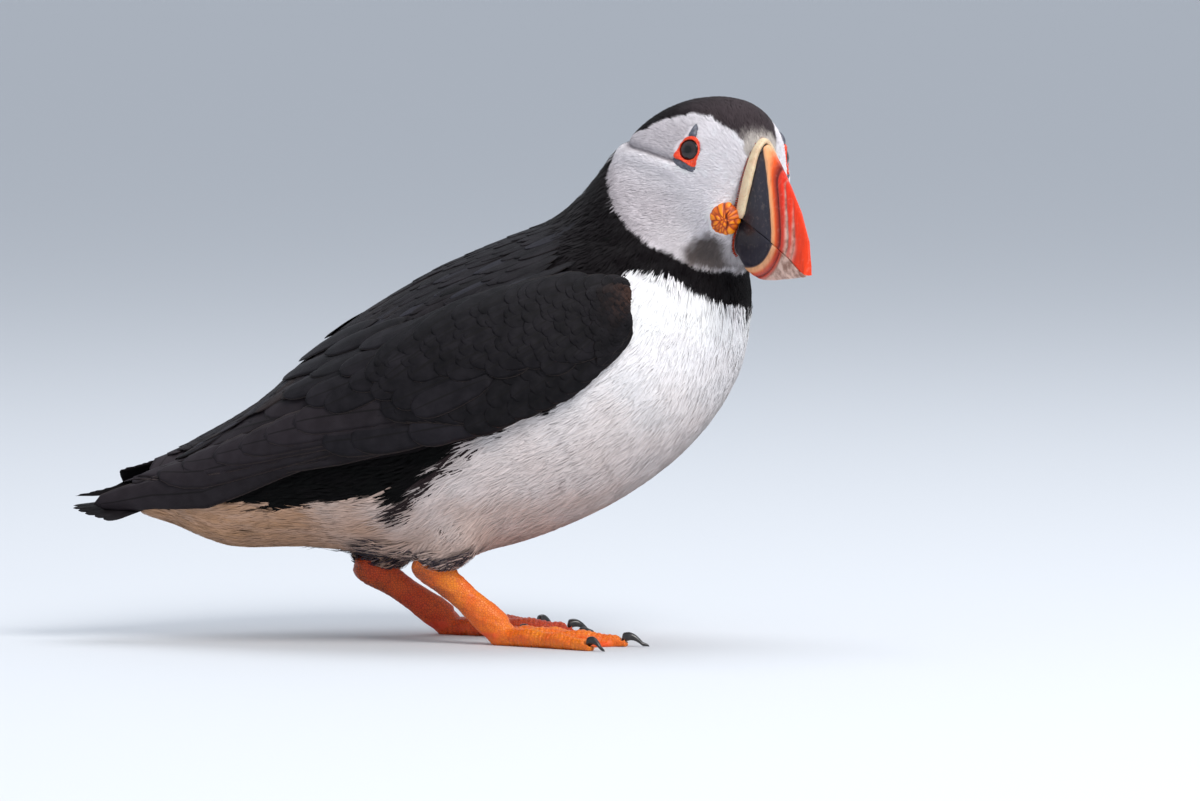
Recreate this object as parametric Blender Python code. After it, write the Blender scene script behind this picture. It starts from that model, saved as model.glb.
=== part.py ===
"""Atlantic puffin, life size, standing on both webbed feet with its head turned to its right.

Metres, +Z up, +X towards the breast, +Y the bird's left. The origin is on the floor, under the
middle of the bounding box. Each named piece is one closed solid, and neighbours stand a thin
gap apart. Stations and places are in millimetres and are scaled by MM.
"""

import math

import bmesh
import bpy
import numpy as np
from mathutils import Euler, Matrix, Vector
from mathutils.bvhtree import BVHTree

MM = 0.001
GAP = 0.4 * MM              # space between neighbouring solids
RING_STEPS = 28             # points round a body section
FINE_GAP = 0.3 * MM         # the same between small pieces
RIGHT, LEFT = -1, 1         # sign of Y on each side

# The trunk and neck are sections across the body's axis, from the tail tip to the crown.
# Each row: back point (x, z), belly point (x, z), half width, all in mm.
BODY_STATIONS = (
    ("tail_tip", (-114, 40.0), (-113, 37.5), 3.0),
    ("tail_middle", (-102, 43.0), (-99, 35.5), 7.0),
    ("tail_root", (-90, 47.5), (-86, 33.3), 12.0),
    ("vent", (-78, 53.5), (-69, 26.0), 19.0),
    ("rump", (-64, 64.0), (-49, 26.5), 27.0),
    ("loin", (-49, 78.5), (-27, 24.5), 34.0),
    ("back", (-32, 92.5), (-2, 24.0), 39.5),
    ("belly", (-11, 105.5), (21, 29.5), 42.5),
    ("breast", (9, 114.5), (44, 40.0), 42.0),
    ("shoulder", (25, 121.5), (64, 55.5), 37.5),
    ("collar", (34.5, 131.5), (77.5, 75.0), 28.5),
    ("neck", (42, 141.0), (80.5, 94.0), 19.5),
    ("nape", (50, 146.0), (78, 106.0), 14.0),
    ("hindcrown", (57, 146.0), (74, 112.0), 9.0),
)
STATION = {row[0]: number for number, row in enumerate(BODY_STATIONS)}
BODY_FULLNESS = 2.15        # exponent of the body's sections; 2 is an ellipse

# The head in its own frame: x towards the bill, y left, z up, origin midway between the eyes.
HEAD_PLACE = Vector((77.0, -14.0, 139.2)) * MM
HEAD_TURN_DEG = 61          # to the bird's right
HEAD_BOW_DEG = 13           # bill down
HEAD_LEAN_DEG = -5          # left side down
# Each row: place along the head, crown, chin, level of the widest point, half width.
HEAD_STATIONS = (
    (-33.5, 0.0, -18.0, -9.0, 11.5),
    (-30.5, 5.0, -24.0, -10.5, 20.0),
    (-23.5, 10.6, -30.0, -12.5, 26.0),
    (-14.5, 13.9, -33.2, -13.5, 26.8),
    (-6.5, 14.8, -33.9, -14.0, 22.4),
    (0.0, 14.2, -33.6, -14.0, 17.9),
    (5.0, 12.4, -32.8, -13.0, 14.4),
    (9.0, 9.9, -31.6, -12.0, 11.5),
    (12.6, 6.9, -29.2, -11.5, 7.4),
)
HEAD_FULLNESS = 1.9
HINDHEAD = -34.8

# Bill: base and tip along the head, with the culmen, gape and gonys as curves between them.
BILL_BASE = 12.9
CERE_LENGTH = 2.8
BILL_TIP, LOWER_TIP = 48.2, 45.6
BILL_HALF_WIDTH = 6.3
# Height of each outline at places along the head, from the base to the tip.
CULMEN = ((12.9, 6.4), (18.0, 4.7), (27.5, -0.3), (37.5, -6.8), (44.5, -13.2), (47.2, -18.5), (48.2, -23.4))
GAPE = ((12.9, -14.6), (20.0, -15.8), (30.0, -17.7), (40.0, -20.2), (48.2, -23.0))
GONYS = ((12.9, -26.8), (17.0, -29.3), (22.0, -30.5), (28.0, -29.6), (36.0, -27.2), (48.2, -23.6))

EYE_ALONG, EYE_LEVEL = -1.55, -0.3
EYE_RADIUS = 4.6
EYE_STANDS_OUT = 0.9        # how far the eyeball passes the skin round it
SOCKET_ROOM = 0.9           # space round the eyeball in its socket
RING_RADIUS, RING_WIRE = 3.45, 0.85

WING_FRONT, PRIMARY_TIP, FAR_PRIMARY_TIP = 9.25, 0.12, 1.1      # stations along the body
WING_GAP = 0.6
WING_THICKNESS = 5.2
WING_EDGE = 0.9
WING_ROWS, WING_COLUMNS = 10, 6

TARSUS_RADII = (5.0, 5.1, 4.4, 3.9, 3.8, 4.0, 4.5, 4.3)
LEG_FLATTENING = 0.72
TOES = (("outer", -29, 34.5), ("middle", 2, 36.5), ("inner", 41, 27.0))
CLAWS = {"outer": 6.4, "middle": 8.0, "inner": 6.6}
TOE_RADIUS, TOE_TIP_RADIUS = 2.9, 1.7
WEB_THICKNESS = 1.1
BELOW_FLOOR = 0.6           # depth of the foot that the level cut takes off
KNUCKLE_RADIUS = 4.0
SIDES = {
    # ankle, foot joint, heading of the middle toe in degrees, all about the bird's own axes
    RIGHT: {"ankle": (-11.5, -17.0, 22.5), "foot": (8.5, -20.5, 4.4), "heading": -12},
    LEFT: {"ankle": (-29.0, 16.0, 20.0), "foot": (-7.5, 20.0, 4.4), "heading": 8},
}

# Each finish: colour and roughness.
BLACK_PLUMAGE = (0.020, 0.018, 0.022), 0.75
WHITE_PLUMAGE = (0.72, 0.69, 0.66), 0.75
FLIGHT_FEATHER = (0.045, 0.038, 0.042), 0.6
RED_HORN = (0.64, 0.05, 0.015), 0.35
CREAM_SKIN = (0.72, 0.55, 0.30), 0.5
SLATE_HORN = (0.060, 0.055, 0.080), 0.45
ORANGE_SKIN = (0.80, 0.17, 0.012), 0.5
WATTLE_ORANGE = (0.75, 0.22, 0.006), 0.5
VERMILION_SKIN = (0.70, 0.04, 0.012), 0.5
DARK_EYE = (0.018, 0.012, 0.012), 0.08
BLACK_CLAW = (0.012, 0.010, 0.010), 0.35


def side_name(side):
    return "right" if side == RIGHT else "left"


# ---------------------------------------------------------------- scene and material helpers


def clear_scene():
    for obj in list(bpy.data.objects):
        bpy.data.objects.remove(obj, do_unlink=True)


def make_collection(name):
    collection = bpy.data.collections.new(name)
    bpy.context.scene.collection.children.link(collection)
    return collection


def make_material(name, finish):
    colour, roughness = finish
    material = bpy.data.materials.new(name)
    material.use_nodes = True
    shader = material.node_tree.nodes["Principled BSDF"]
    shader.inputs["Base Color"].default_value = (*colour, 1)
    shader.inputs["Roughness"].default_value = roughness
    material.diffuse_color = (*colour, 1)
    return material


def make_empty(name, location, rotation=(0, 0, 0), parent=None):
    empty = bpy.data.objects.new(name, None)
    MODEL.objects.link(empty)
    empty.location = location
    empty.rotation_euler = rotation
    empty.parent = parent
    return empty


def add_piece(name, mesh, finish, parent, smooth_angle=40):
    """A visible solid made from a bmesh, with its own material, under the given empty."""
    data = bpy.data.meshes.new(name)
    bmesh.ops.recalc_face_normals(mesh, faces=mesh.faces)
    mesh.to_mesh(data)
    mesh.free()
    data.shade_smooth()
    data.set_sharp_from_angle(angle=math.radians(smooth_angle))
    data.materials.append(make_material(name, finish))
    piece = bpy.data.objects.new(name, data)
    MODEL.objects.link(piece)
    piece.parent = parent
    return piece


def as_cutter(piece):
    MODEL.objects.unlink(piece)
    CUTTERS.objects.link(piece)
    piece.hide_render = True
    piece.display_type = "WIRE"
    return piece


def grown(piece, gap=GAP):
    """A hidden copy of a solid, swollen by the gap, which cuts room for it in a neighbour."""
    copy = bpy.data.objects.new(piece.name + "_room", piece.data.copy())
    MODEL.objects.link(copy)
    copy.parent = piece.parent
    copy.location = piece.location
    copy.rotation_euler = piece.rotation_euler
    swell = copy.modifiers.new("swell", "DISPLACE")
    swell.direction = "NORMAL"
    swell.mid_level = 0
    swell.strength = gap
    return as_cutter(copy)


def boolean(piece, others, operation):
    """One Boolean of a piece with a whole group of hidden solids."""
    group = bpy.data.collections.new(piece.name + "_" + operation.lower())
    CUTTERS.children.link(group)
    for other in others:
        CUTTERS.objects.unlink(other)
        group.objects.link(other)
    modifier = piece.modifiers.new(group.name, "BOOLEAN")
    modifier.operation = operation
    modifier.solver = "EXACT"
    modifier.operand_type = "COLLECTION"
    modifier.collection = group


def slab(name, size, location, parent):
    """A hidden box that cuts off what lies past a plane."""
    mesh = bmesh.new()
    bmesh.ops.create_cube(mesh, size=1.0)
    bmesh.ops.scale(mesh, vec=size, verts=mesh.verts)
    piece = add_piece(name, mesh, BLACK_CLAW, parent)
    piece.location = location
    return as_cutter(piece)


# ---------------------------------------------------------------- curves and lofts


def smooth_through(values, t):
    """A Catmull-Rom curve through evenly numbered values, at station t."""
    values = np.asarray(values, float)
    last = len(values) - 1
    t = min(max(t, 0.0), last)
    i = min(int(t), last - 1)
    x = t - i
    before, after = values[max(i - 1, 0)], values[min(i + 2, last)]
    here, there = values[i], values[i + 1]
    return 0.5 * (
        2 * here
        + (there - before) * x
        + (2 * before - 5 * here + 4 * there - after) * x * x
        + (3 * here - before - 3 * there + after) * x ** 3
    )


def rounded(value, fullness):
    return math.copysign(abs(value) ** (2 / fullness), value)


def loft(rings, first_pole=None, last_pole=None):
    """A closed skin over rings of equal count, each end a fan to a pole or to the ring's middle."""
    mesh = bmesh.new()
    rows = [[mesh.verts.new(point) for point in ring] for ring in rings]
    for near, far in zip(rows, rows[1:]):
        for i in range(len(near)):
            j = (i + 1) % len(near)
            mesh.faces.new((near[i], near[j], far[j], far[i]))
    for row, pole in ((rows[0], first_pole), (rows[-1], last_pole)):
        middle = sum((v.co for v in row), Vector()) / len(row)
        centre = mesh.verts.new(pole if pole is not None else middle)
        for i in range(len(row)):
            mesh.faces.new((row[i], row[(i + 1) % len(row)], centre))
    return mesh


def shell(outer, inner):
    """A closed plate between two grids of points of the same shape."""
    mesh = bmesh.new()
    grids = [[[mesh.verts.new(p) for p in row] for row in grid] for grid in (outer, inner)]
    last_row, last_column = len(outer) - 1, len(outer[0]) - 1
    for grid in grids:
        for i in range(last_row):
            for j in range(last_column):
                mesh.faces.new((grid[i][j], grid[i + 1][j], grid[i + 1][j + 1], grid[i][j + 1]))
    rim = [(i, 0) for i in range(last_row)]
    rim += [(last_row, j) for j in range(last_column)]
    rim += [(i, last_column) for i in range(last_row, 0, -1)]
    rim += [(0, j) for j in range(last_column, 0, -1)]
    for (i, j), (k, m) in zip(rim, rim[1:] + rim[:1]):
        mesh.faces.new((grids[0][i][j], grids[0][k][m], grids[1][k][m], grids[1][i][j]))
    return mesh


def tube(points, radii, steps=14, flatten=1.0):
    """A closed tube through points, with a radius at each, rounded at both ends.

    flatten narrows it along Y about its own line."""
    points = [Vector(p) for p in points]
    rings = []
    for i, (point, radius) in enumerate(zip(points, radii)):
        ahead = points[min(i + 1, len(points) - 1)] - points[max(i - 1, 0)]
        forward = ahead.normalized()
        across = forward.cross(Vector((0, 0, 1))).normalized()
        up = across.cross(forward)
        ring = []
        for k in range(steps):
            angle = 2 * math.pi * (k + 0.37) / steps
            ring.append(point + (across * math.cos(angle) * flatten + up * math.sin(angle)) * radius)
        rings.append(ring)
    first = points[0] - (points[1] - points[0]).normalized() * radii[0] * 0.45
    last = points[-1] + (points[-1] - points[-2]).normalized() * radii[-1] * 0.45
    return loft(rings, first, last)


# ---------------------------------------------------------------- trunk, neck and tail


def body_section(t):
    """Centre, unit back direction, half height and half width at station t."""
    back = smooth_through([row[1] for row in BODY_STATIONS], t) * MM
    belly = smooth_through([row[2] for row in BODY_STATIONS], t) * MM
    width = smooth_through([row[3] for row in BODY_STATIONS], t) * MM
    middle = (back + belly) / 2
    rise = back - belly
    height = float(np.linalg.norm(rise)) / 2
    up = Vector((rise[0], 0, rise[1])).normalized()
    return Vector((middle[0], 0, middle[1])), up, height, float(width)


def body_point(t, angle, side=RIGHT):
    """A point of the body's surface, the angle running from the back (0) to the belly (pi)."""
    centre, up, height, width = body_section(t)
    return (
        centre
        + up * height * rounded(math.cos(angle), BODY_FULLNESS)
        + Vector((0, side, 0)) * width * rounded(math.sin(angle), BODY_FULLNESS)
    )


def body_normal(t, angle, side):
    step = 0.02
    along = body_point(t + step, angle, side) - body_point(t - step, angle, side)
    around = body_point(t, angle + step, side) - body_point(t, angle - step, side)
    normal = along.cross(around).normalized()
    centre = body_section(t)[0]
    return normal if normal.dot(body_point(t, angle, side) - centre) > 0 else -normal


def body_ring(t):
    angles = [2 * math.pi * k / RING_STEPS for k in range(RING_STEPS)]
    return [body_point(t, angle) for angle in angles]


def body_loft(first, last, rings):
    return loft([body_ring(first + (last - first) * k / (rings - 1)) for k in range(rings)])


def make_trunk():
    mesh = body_loft(STATION["tail_middle"] + 0.3, STATION["shoulder"] + 0.62, 20)
    return add_piece("trunk", mesh, WHITE_PLUMAGE, FRAME)


def make_neck():
    split = STATION["shoulder"] + 0.65
    return add_piece("neck", body_loft(split, STATION["hindcrown"], 9), BLACK_PLUMAGE, FRAME)


def make_tail():
    """A short arched fan of tail feathers, its end scalloped by the feathers' tips."""
    root, tip = -84.0, -113.5
    feathers, rows, columns = 12, 5, 24
    outer, inner = [], []
    for i in range(rows + 1):
        along = i / rows
        top, under = [], []
        for j in range(columns + 1):
            across = 2 * j / columns - 1
            scallop = abs(math.sin(math.pi * feathers * j / columns)) ** 0.5
            length = (1 - 0.34 * across ** 2) * (0.955 + 0.045 * scallop)
            x = root + (tip - root) * along * length
            half = 6.5 + 7.0 * (along * length)
            y = across * half
            z = 42.6 - 4.0 * along * length - 0.030 * y * y - 0.6 * abs(across)
            thick = 1.7 - 0.9 * along
            top.append(Vector((x, y, z)) * MM)
            under.append(Vector((x, y, z - thick)) * MM)
        outer.append(top)
        inner.append(under)
    return add_piece("tail", shell(outer, inner), BLACK_PLUMAGE, FRAME)


# ---------------------------------------------------------------- wings


def wing_edges(t):
    """Angles of the folded wing's upper and lower edges at station t."""
    upper = np.interp(t, (0, 2, 3.2, 4.2, 5.5, 7.5, 8.7, 9.25), (30, 22, 16, 26, 42, 46, 50, 66))
    lower = np.interp(t, (0, 2, 3, 5, 7, 8, 8.8, 9.25), (96, 88, 88, 98, 103, 100, 93, 84))
    return math.radians(upper), math.radians(lower)


def wing_grids(side, first, last, rows):
    """Outer and inner points of the folded wing, from station first back to station last."""
    front, rear = WING_FRONT, PRIMARY_TIP
    outer, inner = [], []
    for i in range(rows + 1):
        t = first + (last - first) * i / rows
        upper, lower = wing_edges(t)
        share = (front - t) / (front - rear)
        swell = min(1.0, max(0.0, share / 0.16)) ** 0.5 * (1 - 0.80 * share ** 1.5)
        lift = 0.0 if side == RIGHT else 12.0 * max(0.0, share - 0.5) ** 1.2
        row_out, row_in = [], []
        for j in range(WING_COLUMNS + 1):
            across = j / WING_COLUMNS
            angle = upper + (lower - upper) * across
            point = body_point(t, angle, side)
            normal = body_normal(t, angle, side)
            thick = WING_EDGE + WING_THICKNESS * swell * math.sin(math.pi * across ** 0.85) ** 0.8
            raised = point + Vector((0, 0, lift * MM))
            row_out.append(raised + normal * (WING_GAP + thick) * MM)
            row_in.append(raised + normal * WING_GAP * MM)
        outer.append(row_out)
        inner.append(row_in)
    return outer, inner


def make_wing(side):
    """The arm with its coverts, and the long flight feathers behind it, as two solids."""
    split, name = STATION["loin"] - 0.9, side_name(side)
    tip = PRIMARY_TIP if side == RIGHT else FAR_PRIMARY_TIP
    arm = wing_grids(side, WING_FRONT, split, WING_ROWS)
    blade = wing_grids(side, split - 0.03, tip, WING_ROWS)
    add_piece("wing_" + name, shell(*arm), BLACK_PLUMAGE, FRAME)
    return add_piece("primaries_" + name, shell(*blade), FLIGHT_FEATHER, FRAME)


# ---------------------------------------------------------------- head, eyes and bill


def head_ring(f):
    places = [row[0] for row in HEAD_STATIONS]
    t = float(np.interp(f, places, range(len(places))))
    _, crown, chin, widest, half = smooth_through(HEAD_STATIONS, t)
    ring = []
    for k in range(RING_STEPS):
        angle = 2 * math.pi * k / RING_STEPS
        up = rounded(math.cos(angle), HEAD_FULLNESS)
        reach = crown - widest if up > 0 else widest - chin
        ring.append(Vector((f, half * rounded(math.sin(angle), HEAD_FULLNESS), widest + up * reach)) * MM)
    return ring


def make_head():
    first, last = HEAD_STATIONS[0][0], HEAD_STATIONS[-1][0]
    rings = [head_ring(first + (last - first) * k / 12) for k in range(13)]
    mesh = loft(rings, first_pole=Vector((HINDHEAD, 0, -6.5)) * MM)
    bmesh.ops.recalc_face_normals(mesh, faces=mesh.faces)
    return BVHTree.FromBMesh(mesh), add_piece("head", mesh, WHITE_PLUMAGE, HEAD)


def outline(points, f):
    """A smooth curve through (place, height) points."""
    places = [point[0] for point in points]
    t = float(np.interp(f, places, range(len(places))))
    return float(smooth_through([point[1] for point in points], t))


def bill_half_width(f):
    share = max(0.0, (f - BILL_BASE) / (BILL_TIP - BILL_BASE))
    return BILL_HALF_WIDTH * (1 - 0.80 * share ** 1.15)


def mandible_ring(f, level, ridge, half, fullness, steps=14):
    """Half a pointed oval from the gape over the ridge, closed flat along the gape."""
    ring = []
    for k in range(steps + 1):
        angle = math.pi * k / steps
        y = half * rounded(math.cos(angle), fullness)
        z = level + (ridge - level) * rounded(math.sin(angle), fullness)
        ring.append(Vector((f, y, z)) * MM)
    return ring


def make_bill():
    """The fleshy strip at the base, and both mandibles, as three solids."""
    half_gap = GAP / MM / 2
    swollen = 0.9

    def upper(f, extra=0.0):
        level, ridge = outline(GAPE, f) + half_gap, outline(CULMEN, f) + extra
        return mandible_ring(f, level, ridge, bill_half_width(f) + extra, 1.62)

    def lower(f):
        level = outline(GAPE, f) - half_gap
        return mandible_ring(f, level, outline(GONYS, f), bill_half_width(f), 1.75)

    def stepped(first, last, count, crowding=1.0):
        return [last - (last - first) * (1 - k / (count - 1)) ** crowding for k in range(count)]

    strip = stepped(BILL_BASE, BILL_BASE + CERE_LENGTH - 0.3, 4)
    strip = [upper(f, swollen * (1 - 0.25 * abs(k - 1.5))) for k, f in enumerate(strip)]
    cere = add_piece("bill_base", loft(strip), CREAM_SKIN, HEAD)
    blades = [upper(f) for f in stepped(BILL_BASE + CERE_LENGTH, BILL_TIP - 0.25, 13, 1.5)]
    tip = Vector((BILL_TIP, 0, outline(GAPE, BILL_TIP) + 0.1)) * MM
    bill_upper = add_piece("bill_upper", loft(blades, last_pole=tip), RED_HORN, HEAD)
    blades = [lower(f) for f in stepped(BILL_BASE, LOWER_TIP, 11, 1.2)]
    tip = Vector((LOWER_TIP + 0.6, 0, outline(GAPE, LOWER_TIP) - 0.6)) * MM
    bill_lower = add_piece("bill_lower", loft(blades, last_pole=tip), RED_HORN, HEAD)
    return cere, bill_upper, bill_lower


def skin_hit(point, direction):
    """Where a line from outside meets the head's skin, and the skin's normal there."""
    place, normal, _, _ = HEAD_SKIN.ray_cast(Vector(point) * MM, direction)
    return place, normal


def eye_frame(side):
    """An empty at the eyeball's centre, its z axis looking out of the eye and its y axis up."""
    place, out = skin_hit((EYE_ALONG, side * 60, EYE_LEVEL), Vector((0, -side, 0)))
    out = Vector((out.x, out.y, out.z * 0.6)).normalized()
    across = Vector((0, 0, 1)).cross(out).normalized()
    gaze = Matrix((across, out.cross(across), out)).transposed()
    centre = place - out * (EYE_RADIUS - EYE_STANDS_OUT) * MM
    return make_empty("eye_frame_" + side_name(side), centre, gaze.to_euler(), HEAD), gaze


def horny_plate(name, frame, gaze, radii, place, lean):
    """A small smooth lump of blue-grey horn set in the skin, leaning in its own plane.

    place is across and above the eye, in the eye's frame."""
    mesh = bmesh.new()
    bmesh.ops.create_uvsphere(mesh, u_segments=10, v_segments=6, radius=1.0)
    bmesh.ops.scale(mesh, vec=Vector(radii) * MM, verts=mesh.verts)
    piece = add_piece(name, mesh, SLATE_HORN, frame)
    start = Vector(frame.location) + gaze @ Vector((*place, 30)) * MM
    hit, _ = skin_hit(start / MM, -gaze.col[2])
    level = (hit - Vector(frame.location)).dot(gaze.col[2])
    piece.location = Vector((place[0] * MM, place[1] * MM, level))
    piece.rotation_euler = (0, 0, math.radians(lean))
    return piece


def make_eye(side):
    """The eyeball, the ring of bare skin round it and the two horny plates above and below.

    Gives back the rooms that the head leaves for them."""
    name = side_name(side)
    frame, gaze = eye_frame(side)
    ball_mesh = bmesh.new()
    bmesh.ops.create_uvsphere(ball_mesh, u_segments=14, v_segments=8, radius=EYE_RADIUS * MM)
    ball = add_piece("eye_" + name, ball_mesh, DARK_EYE, frame)

    wire, around, ring_level = 7, 15, EYE_RADIUS - EYE_STANDS_OUT
    rings = []
    for k in range(around):
        turn = 2 * math.pi * k / around
        out = Vector((math.cos(turn), math.sin(turn), 0))
        reach = RING_RADIUS * (1 + 0.10 * math.cos(3 * (turn - math.pi / 2)))
        rings.append([
            (out * (reach + RING_WIRE * math.cos(2 * math.pi * i / wire))
             + Vector((0, 0, ring_level + RING_WIRE * math.sin(2 * math.pi * i / wire)))) * MM
            for i in range(wire)
        ])
    ring_mesh = bmesh.new()
    rows = [[ring_mesh.verts.new(p) for p in ring] for ring in rings]
    for k in range(around):
        near, far = rows[k], rows[(k + 1) % around]
        for i in range(wire):
            j = (i + 1) % wire
            ring_mesh.faces.new((near[i], near[j], far[j], far[i]))
    ring = add_piece("eye_ring_" + name, ring_mesh, VERMILION_SKIN, frame)
    boolean(ring, [grown(ball, FINE_GAP)], "DIFFERENCE")

    horn = horny_plate("eye_horn_" + name, frame, gaze, (1.3, 1.8, 1.3), (0.3 * side, 6.9), 8 * side)
    plate = horny_plate("eye_plate_" + name, frame, gaze, (4.1, 1.15, 1.2), (0.2 * side, -6.3), 4 * side)
    return [grown(ball, SOCKET_ROOM * MM)] + [grown(piece, FINE_GAP) for piece in (ring, horn, plate)]


def make_rosette(side):
    """The fleshy lobed button at the corner of the gape."""
    mesh = bmesh.new()
    bmesh.ops.create_icosphere(mesh, subdivisions=2, radius=1.0)
    for vert in mesh.verts:
        turn = math.atan2(vert.co.z, vert.co.x)
        vert.co *= 1 + 0.05 * math.cos(5 * turn) * (1 - vert.co.y ** 2)
    bmesh.ops.scale(mesh, vec=Vector((4.6, 2.6, 5.0)) * MM, verts=mesh.verts)
    piece = add_piece("gape_rosette_" + side_name(side), mesh, WATTLE_ORANGE, HEAD, 60)
    piece.location = Vector((11.2, side * 9.6, -16.4)) * MM
    piece.rotation_euler = Euler((0, 0, -side * math.radians(50)))
    return piece


# ---------------------------------------------------------------- legs and feet


def along_line(first, last, count):
    first, last = Vector(first), Vector(last)
    return [first.lerp(last, k / (count - 1)) for k in range(count)]


def make_leg(side):
    """The bare lower leg, from inside the feathered thigh down to the foot's joint."""
    ankle, foot = Vector(SIDES[side]["ankle"]), Vector(SIDES[side]["foot"])
    shank = along_line(ankle + (ankle - foot) * 0.10, foot, len(TARSUS_RADII))
    mesh = tube([p * MM for p in shank], [r * MM for r in TARSUS_RADII], 12, LEG_FLATTENING)
    return add_piece("leg_" + side_name(side), mesh, ORANGE_SKIN, FRAME)


def make_thigh(side):
    """The feathered thigh, a soft cone of plumage that closes round the leg above the ankle."""
    ankle = Vector(SIDES[side]["ankle"])
    path = [
        ankle + Vector(step)
        for step in ((9.0, side * 3.0, 17.0), (6.5, side * 2.0, 11.5), (4.0, side * 1.0, 6.8), (2.2, 0, 3.4))
    ]
    mesh = tube([p * MM for p in path], [r * MM for r in (12.0, 10.5, 8.0, 5.8)], 14, 0.95)
    return add_piece("thigh_" + side_name(side), mesh, WHITE_PLUMAGE, FRAME)


def toe_path(side, joint, degrees, length):
    """Points and radii of a toe that lies along the floor, swollen at its joints."""
    turn = math.radians(SIDES[side]["heading"] + (degrees if side == RIGHT else -degrees))
    forward = Vector((math.cos(turn), math.sin(turn), 0))
    points, radii = [], []
    count = 7
    for k in range(count):
        share = k / (count - 1)
        radius = TOE_RADIUS + (TOE_TIP_RADIUS - TOE_RADIUS) * share
        radius *= 1 + 0.10 * math.cos(2 * math.pi * 3 * share)
        bow = math.sin(math.pi * share) * 0.7
        centre = Vector((joint.x, joint.y, 0)) + forward * length * share
        points.append(Vector((centre.x, centre.y, radius * 0.72 + bow)))
        radii.append(radius)
    return points, radii, forward


def make_web(side, joint):
    """The thin web between the toes, a plate whose front edge hangs in curves from toe to toe."""
    headings = [(SIDES[side]["heading"] + (d if side == RIGHT else -d), length) for _, d, length in TOES]
    steps = 6
    rim = []
    for (a, long_a), (b, long_b) in zip(headings, headings[1:]):
        for k in range(steps):
            share = k / steps
            turn = math.radians(a + (b - a) * share)
            length = (long_a + (long_b - long_a) * share) * (0.97 - 0.20 * math.sin(math.pi * share))
            rim.append((turn, length))
    rim.append((math.radians(headings[-1][0]), headings[-1][1] * 0.97))
    rows = 3
    top, under = [], []
    for i in range(rows + 1):
        share = 0.10 + 0.90 * i / rows
        ring = [(joint.x + math.cos(a) * r * share, joint.y + math.sin(a) * r * share) for a, r in rim]
        top.append([Vector((x, y, WEB_THICKNESS)) * MM for x, y in ring])
        under.append([Vector((x, y, -BELOW_FLOOR)) * MM for x, y in ring])
    return shell(top, under)


def make_foot(side, leg):
    """Three toes joined to their web, flat underneath, with a claw in front of each toe."""
    name = side_name(side)
    joint = Vector(SIDES[side]["foot"])
    foot = add_piece("foot_" + name, make_web(side, joint), ORANGE_SKIN, FRAME)
    knuckle = bmesh.new()
    bmesh.ops.create_uvsphere(knuckle, u_segments=10, v_segments=6, radius=KNUCKLE_RADIUS * MM)
    ball = as_cutter(add_piece("knuckle_" + name, knuckle, ORANGE_SKIN, FRAME))
    ball.location = Vector((joint.x + 0.6, joint.y, 3.2)) * MM
    toes, rooms = [ball], [grown(leg, FINE_GAP)]
    for toe, degrees, length in TOES:
        points, radii, forward = toe_path(side, joint, degrees, length)
        mesh = tube([p * MM for p in points], [r * MM for r in radii], 8)
        toes.append(as_cutter(add_piece(f"toe_{toe}_{name}", mesh, ORANGE_SKIN, FRAME)))
        claw = make_claw(side, toe, points[-1], radii[-1], forward)
        rooms.append(grown(claw, FINE_GAP))
    rooms.append(slab("floor_cut_" + name, Vector((160, 160, 20)) * MM, Vector((0, 0, -10)) * MM, FRAME))
    boolean(foot, toes, "UNION")
    boolean(foot, rooms, "DIFFERENCE")


def make_claw(side, toe, root, radius, forward):
    """A curved claw, hooked down to just above the floor."""
    length = CLAWS[toe]
    points, radii = [], []
    for k in range(7):
        share = k / 6
        drop = 0.75 * length * share ** 2.2 * 0.45
        rise = 0.9 * math.sin(math.pi * min(1.0, share * 1.3))
        centre = root + forward * (-1.2 + length * share)
        height = max(0.55, root.z + 0.75 + rise - drop)
        points.append(Vector((centre.x, centre.y, height)) * MM)
        radii.append((1.45 * (1 - share) ** 0.8 + 0.28) * MM)
    return add_piece(f"claw_{toe}_{side_name(side)}", tube(points, radii, 6), BLACK_CLAW, FRAME)


# ---------------------------------------------------------------- the whole bird


def stand_on_origin():
    """Moves the frame so that the origin lies on the floor under the middle of the bounds."""
    bpy.context.view_layer.update()
    graph = bpy.context.evaluated_depsgraph_get()
    low, high = Vector((1e9,) * 3), Vector((-1e9,) * 3)
    for piece in MODEL.objects:
        if piece.type != "MESH":
            continue
        shown = piece.evaluated_get(graph)
        for vert in shown.to_mesh().vertices:
            place = shown.matrix_world @ vert.co
            low = Vector(map(min, low, place))
            high = Vector(map(max, high, place))
        shown.to_mesh_clear()
    FRAME.location = (-(low.x + high.x) / 2, -(low.y + high.y) / 2, -low.z)


clear_scene()
MODEL = make_collection("atlantic_puffin")
CUTTERS = make_collection("cutters")

FRAME = make_empty("puffin_frame", (0, 0, 0))
turned = (
    Matrix.Rotation(math.radians(-HEAD_TURN_DEG), 3, "Z")
    @ Matrix.Rotation(math.radians(HEAD_BOW_DEG), 3, "Y")
    @ Matrix.Rotation(math.radians(HEAD_LEAN_DEG), 3, "X")
)
HEAD = make_empty("head_frame", HEAD_PLACE, turned.to_euler(), FRAME)

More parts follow.
